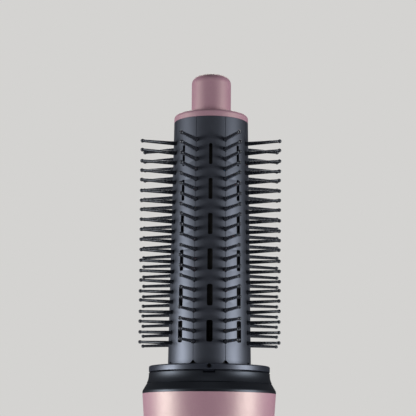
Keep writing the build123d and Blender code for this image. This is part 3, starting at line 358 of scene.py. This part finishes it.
class Recipe:
    """A Geometry Nodes tree with named sizes, and the plain mesh that it makes."""

    def __init__(self, name: str, sizes: dict[str, float]) -> None:
        """Start the tree with its named inputs.

        Args:
            name: Name of the piece.
            sizes: Input name to its value, in metres or a plain count.
        """
        self.name = name
        self.sizes = sizes
        self.tree = bpy.data.node_groups.new(name, "GeometryNodeTree")
        self.tree.interface.new_socket("Geometry", in_out="OUTPUT", socket_type="NodeSocketGeometry")
        self.identifiers: dict[str, str] = {}
        for title, value in sizes.items():
            kind = "NodeSocketInt" if isinstance(value, int) else "NodeSocketFloat"
            socket = self.tree.interface.new_socket(title, in_out="INPUT", socket_type=kind)
            self.identifiers[title] = socket.identifier
        self.given = self.add("NodeGroupInput")

    def size(self, title: str) -> Socket:
        """Return the socket of a named input."""
        return self.given.outputs[title]

    def add(self, kind: str, inputs: dict | None = None, **settings) -> bpy.types.Node:
        """Add one node to this tree, as add() does.

        Args:
            kind: Blender's type name of the node.
            inputs: Socket name or number to a value, a source of a link, or a list of sources.
            settings: Properties of the node.

        Returns:
            The new node.
        """
        return add(self.tree, kind, inputs, **settings)

    def radial(self) -> Source:
        """Find the level direction from the Z axis to each point.

        Returns:
            Source of the direction, of length one.
        """
        place = self.add("GeometryNodeInputPosition")
        flat = self.add("ShaderNodeVectorMath", {0: place, 1: (1.0, 1.0, 0.0)}, operation="MULTIPLY")
        return self.add("ShaderNodeVectorMath", {0: flat}, operation="NORMALIZE")

    def outward(self, angle: Source) -> Source:
        """Find the level direction at an angle about Z from +X.

        Args:
            angle: Source of the angle in radians.

        Returns:
            Source of the direction, of length one.
        """
        cosine = self.add("ShaderNodeMath", {0: angle}, operation="COSINE")
        sine = self.add("ShaderNodeMath", {0: angle}, operation="SINE")
        return self.add("ShaderNodeCombineXYZ", {"X": cosine, "Y": sine})

    def column(self, count: str, pitch: str, lowest: str) -> Source:
        """Set points on the Z axis, one above the other.

        Args:
            count: Name of the input that says how many there are.
            pitch: Name of the input that holds the step between two.
            lowest: Name of the input that holds the height of the lowest.

        Returns:
            Source of the points.
        """
        index = self.add("GeometryNodeInputIndex")
        level = self.add("ShaderNodeMath", {0: index, 1: self.size(pitch), 2: self.size(lowest)},
                         operation="MULTIPLY_ADD")
        place = self.add("ShaderNodeCombineXYZ", {"Z": level})
        return self.add("GeometryNodePoints", {"Count": self.size(count), "Position": place})

    def listed(self, vectors: list[tuple[float, float, float]]) -> Source:
        """Give each point the vector of its own number.

        Args:
            vectors: The vectors, in the order of the points.

        Returns:
            Source of the vectors.
        """
        switch = self.add("GeometryNodeIndexSwitch", {"Index": self.add("GeometryNodeInputIndex")},
                          data_type="VECTOR")
        for _ in range(len(vectors) - len(switch.index_switch_items)):
            switch.index_switch_items.new()
        for number, vector in enumerate(vectors):
            switch.inputs[number + 1].default_value = vector
        return switch

    def bar(self, rings: list[tuple[float, float]], sides: int) -> Source:
        """Build a closed bar along +Z.

        Args:
            rings: Radius and height of each ring in millimetres, from the bottom upwards.
            sides: Number of sides.

        Returns:
            Source of the bar's mesh.
        """
        ring = self.listed([(radius * MM, 0.0, height * MM) for radius, height in rings])
        split = self.add("ShaderNodeSeparateXYZ", {0: ring})
        level = self.add("ShaderNodeCombineXYZ", {"Z": split.outputs["Z"]})
        line = self.add("GeometryNodeCurvePrimitiveLine")
        line = self.add("GeometryNodeResampleCurve", {"Curve": line, "Count": len(rings)})
        line = self.add("GeometryNodeSetPosition", {"Geometry": line, "Position": level})
        mesh = self.wire(line, 1.0, sides, split.outputs["X"])
        return self.add("GeometryNodeMergeByDistance", {"Geometry": mesh, "Distance": POLE_WELD * MM})

    def wire(self, curve: Source, radius: float | Source, sides: int,
             scale: float | Source = 1.0) -> Source:
        """Turn a curve into a round wire with closed ends.

        Args:
            curve: The wire's centre line.
            radius: The wire's radius in metres.
            sides: Number of sides.
            scale: Factor on the radius at each point.

        Returns:
            Source of the wire's mesh.
        """
        section = self.add("GeometryNodeCurvePrimitiveCircle", {"Resolution": sides, "Radius": radius})
        return self.add("GeometryNodeCurveToMesh", {
            "Curve": curve, "Profile Curve": section, "Scale": scale, "Fill Caps": True})

    def piece(self, geometry: Source, material: bpy.types.Material,
              smooth_angle: float) -> bpy.types.Object:
        """Close the tree, run it and keep its result as a plain mesh.

        Args:
            geometry: Source of everything that the tree made.
            material: Material of the whole piece.
            smooth_angle: Degrees above which an edge stays sharp.

        Returns:
            The finished object, at the origin.
        """
        real = self.add("GeometryNodeRealizeInstances", {"Geometry": geometry})
        painted = self.add("GeometryNodeSetMaterial", {"Geometry": real, "Material": material})
        self.add("NodeGroupOutput", {0: painted})
        host = bpy.data.objects.new(self.name + "_host", bpy.data.meshes.new(self.name + "_host"))
        bpy.context.scene.collection.objects.link(host)
        modifier = host.modifiers.new(self.name, "NODES")
        modifier.node_group = self.tree
        for title, value in self.sizes.items():
            modifier[self.identifiers[title]] = value
        graph = bpy.context.evaluated_depsgraph_get()
        mesh = bpy.data.meshes.new_from_object(host.evaluated_get(graph), depsgraph=graph)
        bpy.data.objects.remove(host)
        return finished(self.name, mesh, smooth_angle)


def finished(name: str, mesh: bpy.types.Mesh, smooth_angle: float) -> bpy.types.Object:
    """Weld a mesh, turn its faces outwards, smooth it and put it in the scene.

    Args:
        name: Name of the piece.
        mesh: Its mesh, in metres, in place.
        smooth_angle: Degrees above which an edge stays sharp.

    Returns:
        The new object.
    """
    shape = bmesh.new()
    shape.from_mesh(mesh)
    bmesh.ops.remove_doubles(shape, verts=shape.verts, dist=WELD * MM)
    bmesh.ops.recalc_face_normals(shape, faces=shape.faces)
    shape.to_mesh(mesh)
    shape.free()
    mesh.shade_smooth()
    mesh.set_sharp_from_angle(angle=math.radians(smooth_angle))
    mesh.name = name
    piece = bpy.data.objects.new(name, mesh)
    bpy.context.scene.collection.objects.link(piece)
    log.info("%s: %d faces", name, len(mesh.polygons))
    return piece


def place_piece(piece: bpy.types.Object, body: str, slot: str, *replaced: str) -> None:
    """Fasten a piece to its body and hide the nodes that it stands for.

    Args:
        piece: The finished piece.
        body: Body that it moves with.
        slot: Material slot of the record, which is not used.
        replaced: Nodes of the frame that it replaces.
    """
    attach(piece, body)
    if replaced:
        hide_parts(*replaced)


def dress(finish: Finish, *names: str) -> None:
    """Give nodes of the frame a finish.

    Args:
        finish: The finish.
        names: Names of the nodes.
    """
    material = finish.build()
    for name in names:
        node = NODES[name]
        if not node.material_slots:
            node.data.materials.append(material)
        for slot in node.material_slots:
            slot.material = material
        log.info("%s: %s", name, finish.name)


def turned_copy(node: str, body: str, slot: str, finish: Finish, smooth_angle: float = 30.0) -> None:
    """Replace a turned node by a welded copy that is shaded as evenly as a turned part.

    Args:
        node: Name of the node.
        body: Body that it moves with.
        slot: Material slot of the record.
        finish: Its finish.
        smooth_angle: Degrees above which an edge stays sharp.
    """
    mesh = NODES[node].data.copy()
    mesh.materials.clear()
    mesh.materials.append(finish.build())
    piece = finished(node + "_shell", mesh, smooth_angle)
    radial_normals(piece.data, smooth_angle)
    place_piece(piece, body, slot, node)


def radial_normals(mesh: bpy.types.Mesh, smooth_angle: float) -> None:
    """Give the corners of turned faces the exact direction about Z and an even slope.

    Args:
        mesh: Mesh of a body turned about Z, with its cuts.
        smooth_angle: Degrees between two faces' slopes above which they aren't evened out.
    """
    across = 0.9    # cosine between a face and the radius through its middle, above which it is turned
    limit = math.radians(smooth_angle)
    slopes: dict[int, float] = {}
    around: dict[int, list[tuple[float, float]]] = {}
    for face in mesh.polygons:
        radius = Vector((face.center.x, face.center.y, 0))
        flat = Vector((face.normal.x, face.normal.y, 0))
        if abs(radius.normalized().dot(flat.normalized())) < across:
            continue
        slopes[face.index] = math.atan2(face.normal.z, math.copysign(flat.length, radius.dot(flat)))
        for vertex in face.vertices:
            around.setdefault(vertex, []).append((slopes[face.index], face.area))
    normals = [Vector(corner.vector) for corner in mesh.corner_normals]
    for number, slope in slopes.items():
        for corner in mesh.polygons[number].loop_indices:
            vertex = mesh.loops[corner].vertex_index
            near = [(other, area) for other, area in around[vertex] if abs(other - slope) < limit]
            even = sum(other * area for other, area in near) / sum(area for _, area in near)
            place = mesh.vertices[vertex].co
            outward = Vector((place.x, place.y, 0)).normalized() * math.cos(even)
            normals[corner] = Vector((outward.x, outward.y, math.sin(even)))
    mesh.normals_split_custom_set(normals)


# ------------------------------------------------------------------ screws
@dataclass
class ScrewSet:
    """Equal pan-head screws with a cross recess."""

    node: str                                  # node of the frame that the set replaces
    body: str
    places: tuple[tuple[float, float, float], ...]   # where each head meets its seat
    turn: tuple[float, float, float]           # from +Z to the way that the heads face
    shank_r: float
    length: float
    head_r: float
    head_height: float
    sides: int = 24
    recess_width: float = 0.3                  # share of the head's radius, and so is the reach
    recess_reach: float = 0.62
    recess_floor: float = 0.4                  # share of the head's height
    seat_step: float = 0.01                    # from the shank's last ring to the head's first
    dome: tuple[tuple[float, float], ...] = (  # shares of the head's radius and height
        (1.0, 0.0), (1.0, 0.45), (0.93, 0.72), (0.72, 0.91), (0.40, 0.99), (0.05, 1.0))

    def rings(self) -> list[tuple[float, float]]:
        """Work out the rings of a screw, from its point to the top of its head.

        Returns:
            Radius and height of each ring.
        """
        tip_r = 0.5 * self.shank_r
        shank = [(tip_r, -self.length), (self.shank_r, -self.length + tip_r),
                 (self.shank_r, -self.seat_step)]
        return shank + [(self.head_r * radius, self.head_height * height) for radius, height in self.dome]

    def build(self) -> None:
        """Build the set and put it in place of its node."""
        recipe = Recipe(self.node + "_turned", {"Screws": len(self.places)})
        screw = recipe.bar(self.rings(), self.sides)
        reach = 2 * self.recess_reach * self.head_r * MM
        width = self.recess_width * self.head_r * MM
        depth = self.head_height * MM
        for size in ((reach, width, depth), (width, reach, depth)):
            slot = recipe.add("GeometryNodeMeshCube", {"Size": size})
            lifted = recipe.add("GeometryNodeTransform", {
                "Geometry": slot, "Translation": (0.0, 0.0, (0.5 + self.recess_floor) * depth)})
            screw = recipe.add("GeometryNodeMeshBoolean", {"Mesh 1": screw, "Mesh 2": lifted},
                               operation="DIFFERENCE")
        place = recipe.listed([(x * MM, y * MM, z * MM) for x, y, z in self.places])
        seats = recipe.add("GeometryNodePoints", {"Count": recipe.size("Screws"), "Position": place})
        screws = recipe.add("GeometryNodeInstanceOnPoints", {
            "Points": seats, "Instance": screw, "Rotation": self.turn})
        piece = recipe.piece(screws, PLATED_STEEL.build(), smooth_angle=35.0)
        place_piece(piece, self.body, "steel", self.node)


# ------------------------------------------------------------------ studio
@dataclass
class SoftBox:
    """A soft light on a circle round the brush."""

    name: str
    azimuth: float        # degrees from the front, positive to the right
    distance: float
    middle: float         # height of its centre
    width: float
    height: float
    tilt: float           # degrees that it points down
    watts: float

    def build(self) -> None:
        """Stand the light on its circle and turn it to the brush's axis."""
        data = bpy.data.lights.new(self.name, "AREA")
        data.shape = "RECTANGLE"
        data.size = self.width * MM
        data.size_y = self.height * MM
        data.energy = self.watts
        light = bpy.data.objects.new(self.name, data)
        angle = math.radians(self.azimuth)
        light.location = Vector((math.sin(angle) * self.distance, -math.cos(angle) * self.distance,
                                 self.middle)) * MM
        light.rotation_euler = (math.radians(90 - self.tilt), 0, angle)
        bpy.context.scene.collection.objects.link(light)


@dataclass
class Studio:
    """Camera, lights, floor and surroundings."""

    camera_place: tuple[float, float, float] = (2.2, -506.8, 198.8)
    look_up: float = 9.75          # degrees above the horizon
    look_left: float = 0.354       # degrees
    camera_roll: float = 0.43      # degrees
    lens: float = 120.96
    sensor: float = 36.0
    floor_r: float = 300.0
    floor_gap: float = 0.05        # keeps the floor just clear of the foot
    background: str = "#d4d3d1"
    surroundings: str = "#3c3c40"

    def build(self) -> None:
        """Build everything that isn't part of the brush."""
        scene = bpy.context.scene
        scene.view_settings.view_transform = "Standard"
        data = bpy.data.cameras.new("camera")
        data.lens = self.lens
        data.sensor_width = self.sensor
        data.clip_start = 0.01
        camera = bpy.data.objects.new("camera", data)
        camera.matrix_world = (Matrix.Translation(Vector(self.camera_place) * MM)
                               @ Matrix.Rotation(math.radians(self.look_left), 4, "Z")
                               @ Matrix.Rotation(math.radians(90 + self.look_up), 4, "X")
                               @ Matrix.Rotation(math.radians(self.camera_roll), 4, "Z"))
        scene.collection.objects.link(camera)
        scene.camera = camera
        for box in self.lights():
            box.build()
        self.floor()
        self.world()
        log.info("studio is built")

    def lights(self) -> list[SoftBox]:
        """List the two key lights at the sides and the two overhead.

        Returns:
            The lights, not yet built.
        """
        return [SoftBox("left_softbox", -78, 620, 190, 300, 220, 0, 2.4),
                SoftBox("right_softbox", 68, 620, 190, 300, 220, 0, 2.25),
                SoftBox("front_overhead", 0, 700, 900, 700, 500, 50, 0.3),
                SoftBox("rear_overhead", 180, 700, 900, 700, 500, 50, 3.0)]

    def floor(self) -> None:
        """Build the round pale floor just under the foot."""
        shape = bmesh.new()
        bmesh.ops.create_circle(shape, cap_ends=True, segments=96, radius=self.floor_r * MM)
        bmesh.ops.translate(shape, verts=shape.verts, vec=(0, 0, -self.floor_gap * MM))
        mesh = bpy.data.meshes.new("floor")
        shape.to_mesh(mesh)
        shape.free()
        mesh.materials.append(STUDIO_FLOOR.build())
        floor = bpy.data.objects.new("floor", mesh)
        bpy.context.scene.collection.objects.link(floor)

    def world(self) -> None:
        """Make the background pale and the light from all round dim."""
        world = bpy.data.worlds.new("studio")
        bpy.context.scene.world = world
        world.use_nodes = True
        tree = world.node_tree
        tree.nodes.clear()
        seen = add(tree, "ShaderNodeLightPath").outputs["Is Camera Ray"]
        pale = add(tree, "ShaderNodeBackground", {"Color": linear(self.background)})
        dim = add(tree, "ShaderNodeBackground", {"Color": linear(self.surroundings)})
        both = add(tree, "ShaderNodeMixShader", {0: seen, 1: dim, 2: pale})
        add(tree, "ShaderNodeOutputWorld", {"Surface": both})


# ------------------------------------------------------------------ brush head
@dataclass
class BrushHead:
    """Barrel, bristles, end ring and cool tip, which lift off together."""

    rows: int = 8
    pins: int = 21
    lowest_pin: float = 235.9
    pitch: float = 3.65
    root_foot: float = 13.36       # axis to the pins' roots, at the lowest pin
    root_top: float = 12.31
    reach_foot: float = 27.3       # axis to the ball tips
    reach_top: float = 27.65
    root_r: float = 0.72
    neck_r: float = 0.5
    ball_r: float = 0.68
    ball_rings: int = 5
    sides: int = 10
    lean: float = 0.016            # tangent of the largest lean of a pin
    seed: int = 7
    bar_thickness: float = 1.0
    bar_width: float = 2.2
    bar_foot: float = 230.6
    bar_top: float = 309.3
    bar_foot_r: float = 13.45
    bar_top_r: float = 12.25
    flange_screws: ScrewSet = field(default_factory=lambda: ScrewSet(
        "flange_screws", "head", tuple((x, y, 225.7) for x in (-8.556, 8.556) for y in (-8.556, 8.556)),
        turn=(FULL_TURN / 2, 0.0, 0.0), shank_r=0.9, length=6.1, head_r=1.7, head_height=1.0))
    tip_screw: ScrewSet = field(default_factory=lambda: ScrewSet(
        "tip_screw", "head", ((0.0, 0.0, 310.3),),
        turn=(FULL_TURN / 2, 0.0, 0.0), shank_r=1.2, length=12.9, head_r=2.2, head_height=1.6))

    def pin_rings(self) -> list[tuple[float, float]]:
        """Work out the rings of a pin, from its root to its ball's pole.

        Returns:
            Radius and height of each ring.
        """
        length = self.reach_foot - self.root_foot
        centre = length - self.ball_r
        start = math.asin(self.neck_r / self.ball_r)
        rings = [(self.root_r, 0.0)]
        for step in range(self.ball_rings + 1):
            angle = start + (math.pi - start) * step / self.ball_rings
            rings.append((self.ball_r * math.sin(angle), centre - self.ball_r * math.cos(angle)))
        return rings

    def bristles(self) -> None:
        """Build the rows of ball-tipped pins on their backing bars."""
        recipe = Recipe("bristles", {
            "Rows": self.rows, "Pins": self.pins, "Lowest pin": self.lowest_pin * MM,
            "Pitch": self.pitch * MM, "Root foot": self.root_foot * MM, "Root top": self.root_top * MM,
            "Reach foot": self.reach_foot * MM, "Reach top": self.reach_top * MM,
            "Lean": self.lean, "Seed": self.seed})
        pin = recipe.bar(self.pin_rings(), self.sides)
        index = recipe.add("GeometryNodeInputIndex")
        turns = recipe.add("ShaderNodeMath", {0: index, 1: recipe.size("Pins")}, operation="DIVIDE")
        row = recipe.add("ShaderNodeMath", {0: turns}, operation="FLOOR")
        step = recipe.add("ShaderNodeMath", {0: index, 1: recipe.size("Pins")}, operation="MODULO")
        last = recipe.add("ShaderNodeMath", {0: recipe.size("Pins"), 1: 1.0}, operation="SUBTRACT")
        share = recipe.add("ShaderNodeMath", {0: step, 1: last}, operation="DIVIDE")
        root, reach = (recipe.add("ShaderNodeMapRange", {
            "Value": share, "To Min": recipe.size(end + " foot"), "To Max": recipe.size(end + " top")})
            for end in ("Root", "Reach"))
        outward = self.row_direction(recipe, row)
        aside = recipe.add("ShaderNodeVectorMath", {0: outward, "Scale": root}, operation="SCALE")
        level = recipe.add("ShaderNodeMath", {
            0: step, 1: recipe.size("Pitch"), 2: recipe.size("Lowest pin")}, operation="MULTIPLY_ADD")
        height = recipe.add("ShaderNodeCombineXYZ", {"Z": level})
        place = recipe.add("ShaderNodeVectorMath", {0: aside, 1: height}, operation="ADD")
        count = recipe.add("ShaderNodeMath", {0: recipe.size("Rows"), 1: recipe.size("Pins")},
                           operation="MULTIPLY")
        roots = recipe.add("GeometryNodePoints", {"Count": count, "Position": place})
        least = recipe.add("ShaderNodeMath", {0: recipe.size("Lean"), 1: -1.0}, operation="MULTIPLY")
        lean = recipe.add("FunctionNodeRandomValue", {
            "Min": least, "Max": recipe.size("Lean"), "Seed": recipe.size("Seed")},
            data_type="FLOAT_VECTOR")
        way = recipe.add("ShaderNodeVectorMath", {0: outward, 1: lean}, operation="ADD")
        turn = recipe.add("FunctionNodeAlignRotationToVector", {"Vector": way}, axis="Z")
        length = recipe.add("ShaderNodeMath", {0: reach, 1: root}, operation="SUBTRACT")
        scale = recipe.add("ShaderNodeMath", {0: length, 1: (self.reach_foot - self.root_foot) * MM},
                           operation="DIVIDE")
        pins = recipe.add("GeometryNodeInstanceOnPoints", {
            "Points": roots, "Instance": pin, "Rotation": turn, "Scale": scale})
        joined = recipe.add("GeometryNodeJoinGeometry", {0: [pins, self.backing_bars(recipe)]})
        piece = recipe.piece(joined, BRISTLE_NYLON.build(), smooth_angle=60.0)
        strips = [f"bristle_strip_{number + 1}" for number in range(self.rows)]
        place_piece(piece, "head", "bristle_nylon", *strips)

    def row_direction(self, recipe: Recipe, row: Source) -> Source:
        """Find the outward direction of a row; the first is half a step past the front.

        Args:
            recipe: The tree.
            row: Source of the row's number.

        Returns:
            Source of the direction.
        """
        step = recipe.add("ShaderNodeMath", {0: FULL_TURN, 1: recipe.size("Rows")}, operation="DIVIDE")
        steps = recipe.add("ShaderNodeMath", {0: row, 1: 0.5}, operation="ADD")
        angle = recipe.add("ShaderNodeMath", {0: steps, 1: step, 2: -FULL_TURN / 4},
                           operation="MULTIPLY_ADD")
        return recipe.outward(angle)

    def backing_bars(self, recipe: Recipe) -> Source:
        """Add the bars that hold the rows of pins.

        Args:
            recipe: The tree.

        Returns:
            Source of the bars, one for each row.
        """
        rise = self.bar_top - self.bar_foot
        slope = math.atan2(self.bar_foot_r - self.bar_top_r, rise)
        middle_r = (self.bar_foot_r + self.bar_top_r) / 2
        middle = (0.0, 0.0, (self.bar_foot + self.bar_top) / 2 * MM)
        bar = recipe.add("GeometryNodeMeshCube", {
            "Size": (self.bar_thickness * MM, self.bar_width * MM, rise * MM)})
        tilted = recipe.add("GeometryNodeTransform", {"Geometry": bar, "Rotation": (0, -slope, 0)})
        outward = self.row_direction(recipe, recipe.add("GeometryNodeInputIndex"))
        aside = recipe.add("ShaderNodeVectorMath", {0: outward, "Scale": middle_r * MM}, operation="SCALE")
        place = recipe.add("ShaderNodeVectorMath", {0: aside, 1: middle}, operation="ADD")
        points = recipe.add("GeometryNodePoints", {"Count": recipe.size("Rows"), "Position": place})
        turn = recipe.add("FunctionNodeAlignRotationToVector", {"Vector": outward},
                          axis="X", pivot_axis="Z")
        return recipe.add("GeometryNodeInstanceOnPoints", {
            "Points": points, "Instance": tilted, "Rotation": turn})

    def build(self) -> None:
        """Build the head's own pieces and dress the others."""
        self.bristles()
        self.flange_screws.build()
        self.tip_screw.build()
        turned_copy("barrel", "head", "barrel_metal", BARREL_COATING)
        turned_copy("base_flange", "head", "black_moulding", FLANGE_LACQUER)
        dress(ROSE_LACQUER, "cool_tip", "end_ring")
        dress(INNER_MOULDING, "strip_carrier", "top_plug", "air_guide")
        dress(BLACKENED_STEEL, "index_pin")
        dress(SILICONE, "spigot_seal")


# ------------------------------------------------------------------ handle
@dataclass
class Housing:
    """Two lacquered shells and their six screws."""

    screws: ScrewSet = field(default_factory=lambda: ScrewSet(
        "housing_screws", "handle",
        ((-13.5, 3.0, 46.5), (13.5, 3.0, 46.5), (-13.5, 3.0, 95.5), (13.5, 3.0, 95.5),
         (-18.0, 3.0, 203.4), (18.0, 3.0, 203.4)),
        turn=(-FULL_TURN / 4, 0.0, 0.0), shank_r=1.1, length=9.0, head_r=1.9, head_height=1.5))

    def build(self) -> None:
        """Build the screws and dress the shells."""
        self.screws.build()
        dress(ROSE_LACQUER, "front_housing", "rear_housing")


@dataclass
class Neck:
    """Socket ring above the housing, with the wire that holds the head and the heater's guard."""

    smooth_angle: float = 30.0    # keeps the crease between the two flares sharp

    def build(self) -> None:
        """Dress the neck's pieces."""
        turned_copy("neck_collar", "handle", "black_moulding", BLACK_MOULDING, self.smooth_angle)
        dress(BLACK_MOULDING, "outlet_grille")
        dress(PLATED_STEEL, "detent_ring")


@dataclass
class Controls:
    """Control panel with slider, button and light, and the board behind it."""

    mouldings: tuple[str, ...] = ("switch_plunger", "slide_switch", "button_switch", "rectifier")

    def build(self) -> None:
        """Dress the controls and the board's parts."""
        dress(GLOSS_BLACK, "control_inlay")
        dress(ROSE_LACQUER, "slider_knob")
        dress(BLACK_MOULDING, "cool_shot_button", *self.mouldings)
        dress(LIGHT_GUIDE, "indicator_lens")
        dress(BOARD_LAMINATE, "control_board")
        dress(CAPACITOR_FILM, "capacitor")


@dataclass
class Heater:
    """Crossed mica cards in a steel tube, wound with two rows of coiled wire."""

    turns: int = 8
    lowest_turn: float = 157.0
    pitch: float = 5.0
    outer_r: float = 11.7          # axis to the outer coil's centre line
    inner_r: float = 6.5
    coil_r: float = 0.8            # outer radius of the coiled wire
    wire_r: float = 0.15
    winding_pitch: float = 0.92    # along the coil, from one winding to the next
    points_per_winding: int = 9
    sides: int = 4

    def coil(self, name: str, turn_r: float) -> None:
        """Build one row of rings of coiled wire.

        Args:
            name: Node of the frame that the row replaces.
            turn_r: Radius of the rings' centre line.
        """
        windings = round(FULL_TURN * turn_r / self.winding_pitch)
        recipe = Recipe(name + "_wire", {
            "Turns": self.turns, "Lowest turn": self.lowest_turn * MM, "Pitch": self.pitch * MM,
            "Points": windings * self.points_per_winding, "Turn radius": turn_r * MM,
            "Winding radius": (self.coil_r - self.wire_r) * MM, "Wire radius": self.wire_r * MM})
        ring = recipe.add("GeometryNodeCurvePrimitiveCircle", {
            "Resolution": recipe.size("Points"), "Radius": recipe.size("Turn radius")})
        index = recipe.add("GeometryNodeInputIndex")
        angle = recipe.add("ShaderNodeMath", {0: index, 1: FULL_TURN / self.points_per_winding},
                           operation="MULTIPLY")
        cosine = recipe.add("ShaderNodeMath", {0: angle}, operation="COSINE")
        sine = recipe.add("ShaderNodeMath", {0: angle}, operation="SINE")
        aside = recipe.add("ShaderNodeVectorMath", {0: recipe.radial(), "Scale": cosine}, operation="SCALE")
        height = recipe.add("ShaderNodeCombineXYZ", {"Z": sine})
        way = recipe.add("ShaderNodeVectorMath", {0: aside, 1: height}, operation="ADD")
        swing = recipe.add("ShaderNodeVectorMath", {0: way, "Scale": recipe.size("Winding radius")},
                           operation="SCALE")
        wound = recipe.add("GeometryNodeSetPosition", {"Geometry": ring, "Offset": swing})
        wire = recipe.wire(wound, recipe.size("Wire radius"), self.sides)
        turns = recipe.add("GeometryNodeInstanceOnPoints", {
            "Points": recipe.column("Turns", "Pitch", "Lowest turn"), "Instance": wire})
        piece = recipe.piece(turns, HEATING_WIRE.build(), smooth_angle=100.0)
        place_piece(piece, "handle", "heating_wire", name)

    def build(self) -> None:
        """Build both rows of wire and dress the rest of the heater."""
        self.coil("heating_coil_outer", self.outer_r)
        self.coil("heating_coil_inner", self.inner_r)
        dress(MICA_SHEET, "mica_liner", "heater_card_a", "heater_card_b")
        dress(PLATED_STEEL, "heater_tube", "thermostat", "thermal_fuse")


@dataclass
class Fan:
    """Duct, motor and impeller."""

    screws: ScrewSet = field(default_factory=lambda: ScrewSet(
        "motor_screws", "handle", ((-6.0, 0.0, 112.8), (6.0, 0.0, 112.8)),
        turn=(FULL_TURN / 2, 0.0, 0.0), shank_r=0.9, length=2.0, head_r=1.7, head_height=0.9))

    def build(self) -> None:
        """Build the motor's screws and dress the fan."""
        self.screws.build()
        dress(INNER_MOULDING, "motor_holder", "impeller")
        dress(BLACK_MOULDING, "motor_end_bell")
        dress(PLATED_STEEL, "motor_can", "motor_shaft")
        dress(FERRITE, "motor_magnets", "armature")


@dataclass
class Inlet:
    """Slotted cover with its woven gauze, the cage inside it and the foot."""

    verticals: int = 160           # even, so that the weave closes
    rings: int = 40
    low: float = 3.3
    high: float = 31.5
    middle_r: float = 17.84
    swing: float = 0.07            # how far a wire goes in and out as it is woven
    wire_r: float = 0.08
    sides: int = 4

    def woven(self, recipe: Recipe, curves: Source, length: Source, side: float) -> Source:
        """Move the points of equal wires in and out by turns and make them round.

        Args:
            recipe: The tree.
            curves: The wires' centre lines as instances.
            length: Number of points on each wire.
            side: One or minus one, for the weft or the warp.

        Returns:
            Source of the wires' mesh.
        """
        real = recipe.add("GeometryNodeRealizeInstances", {"Geometry": curves})
        index = recipe.add("GeometryNodeInputIndex")
        wires = recipe.add("ShaderNodeMath", {0: index, 1: length}, operation="DIVIDE")
        wire = recipe.add("ShaderNodeMath", {0: wires}, operation="FLOOR")
        point = recipe.add("ShaderNodeMath", {0: index, 1: length}, operation="MODULO")
        crossing = recipe.add("ShaderNodeMath", {0: wire, 1: point}, operation="ADD")
        odd = recipe.add("ShaderNodeMath", {0: crossing, 1: 2.0}, operation="MODULO")
        way = recipe.add("ShaderNodeMath", {0: odd, 1: 2.0 * side, 2: -side}, operation="MULTIPLY_ADD")
        swing = recipe.add("ShaderNodeMath", {0: way, 1: recipe.size("Swing")}, operation="MULTIPLY")
        offset = recipe.add("ShaderNodeVectorMath", {0: recipe.radial(), "Scale": swing}, operation="SCALE")
        moved = recipe.add("GeometryNodeSetPosition", {"Geometry": real, "Offset": offset})
        return recipe.wire(moved, recipe.size("Wire radius"), self.sides)

    def gauze(self) -> None:
        """Build the woven gauze sleeve."""
        recipe = Recipe("filter_gauze", {
            "Verticals": self.verticals, "Rings": self.rings, "Low": self.low * MM,
            "Pitch": (self.high - self.low) / (self.rings - 1) * MM, "Radius": self.middle_r * MM,
            "Swing": self.swing * MM, "Wire radius": self.wire_r * MM})
        ring = recipe.add("GeometryNodeCurvePrimitiveCircle", {
            "Resolution": recipe.size("Verticals"), "Radius": recipe.size("Radius")})
        weft = recipe.add("GeometryNodeInstanceOnPoints", {
            "Points": recipe.column("Rings", "Pitch", "Low"), "Instance": ring})
        weft = self.woven(recipe, weft, recipe.size("Verticals"), 1.0)
        gaps = recipe.add("ShaderNodeMath", {0: recipe.size("Rings"), 1: 1.0}, operation="SUBTRACT")
        top = recipe.add("ShaderNodeMath", {0: gaps, 1: recipe.size("Pitch"), 2: recipe.size("Low")},
                         operation="MULTIPLY_ADD")
        foot = recipe.add("ShaderNodeCombineXYZ", {"Z": recipe.size("Low")})
        head = recipe.add("ShaderNodeCombineXYZ", {"Z": top})
        line = recipe.add("GeometryNodeCurvePrimitiveLine", {"Start": foot, "End": head})
        line = recipe.add("GeometryNodeResampleCurve", {"Curve": line, "Count": recipe.size("Rings")})
        step = recipe.add("ShaderNodeMath", {0: FULL_TURN, 1: recipe.size("Verticals")}, operation="DIVIDE")
        index = recipe.add("GeometryNodeInputIndex")
        angle = recipe.add("ShaderNodeMath", {0: index, 1: step}, operation="MULTIPLY")
        place = recipe.add("ShaderNodeVectorMath", {
            0: recipe.outward(angle), "Scale": recipe.size("Radius")}, operation="SCALE")
        feet = recipe.add("GeometryNodePoints", {"Count": recipe.size("Verticals"), "Position": place})
        warp = recipe.add("GeometryNodeInstanceOnPoints", {"Points": feet, "Instance": line})
        warp = self.woven(recipe, warp, recipe.size("Rings"), -1.0)
        joined = recipe.add("GeometryNodeJoinGeometry", {0: [weft, warp]})
        piece = recipe.piece(joined, PLATED_STEEL.build(), smooth_angle=100.0)
        place_piece(piece, "inlet_filter", "steel", "filter_mesh")

    def build(self) -> None:
        """Build the gauze and dress the inlet."""
        self.gauze()
        dress(BLACK_MOULDING, "filter_cover", "inlet_cage", "base_cap")


@dataclass
class CordOutlet:
    """Turning gland in the foot with its retainer and contacts."""

    mouldings: tuple[str, ...] = ("gland_retainer", "slip_ring_block")

    def build(self) -> None:
        """Dress the outlet's pieces."""
        dress(GLAND_RUBBER, "cord_gland")
        dress(INNER_MOULDING, *self.mouldings)
        dress(LEAD_SHEATH, "mains_leads")


# ------------------------------------------------------------------ run
def main() -> None:
    """Build the studio, then the brush from its tip to its foot."""
    logging.basicConfig(level=logging.INFO, format="%(name)s: %(message)s")
    assemblies = (Studio(), BrushHead(), Neck(), Housing(), Controls(), Heater(), Fan(), Inlet(),
                  CordOutlet())
    for assembly in assemblies:
        log.info("%s starts", type(assembly).__name__)
        assembly.build()


if __name__ == "__main__":
    main()
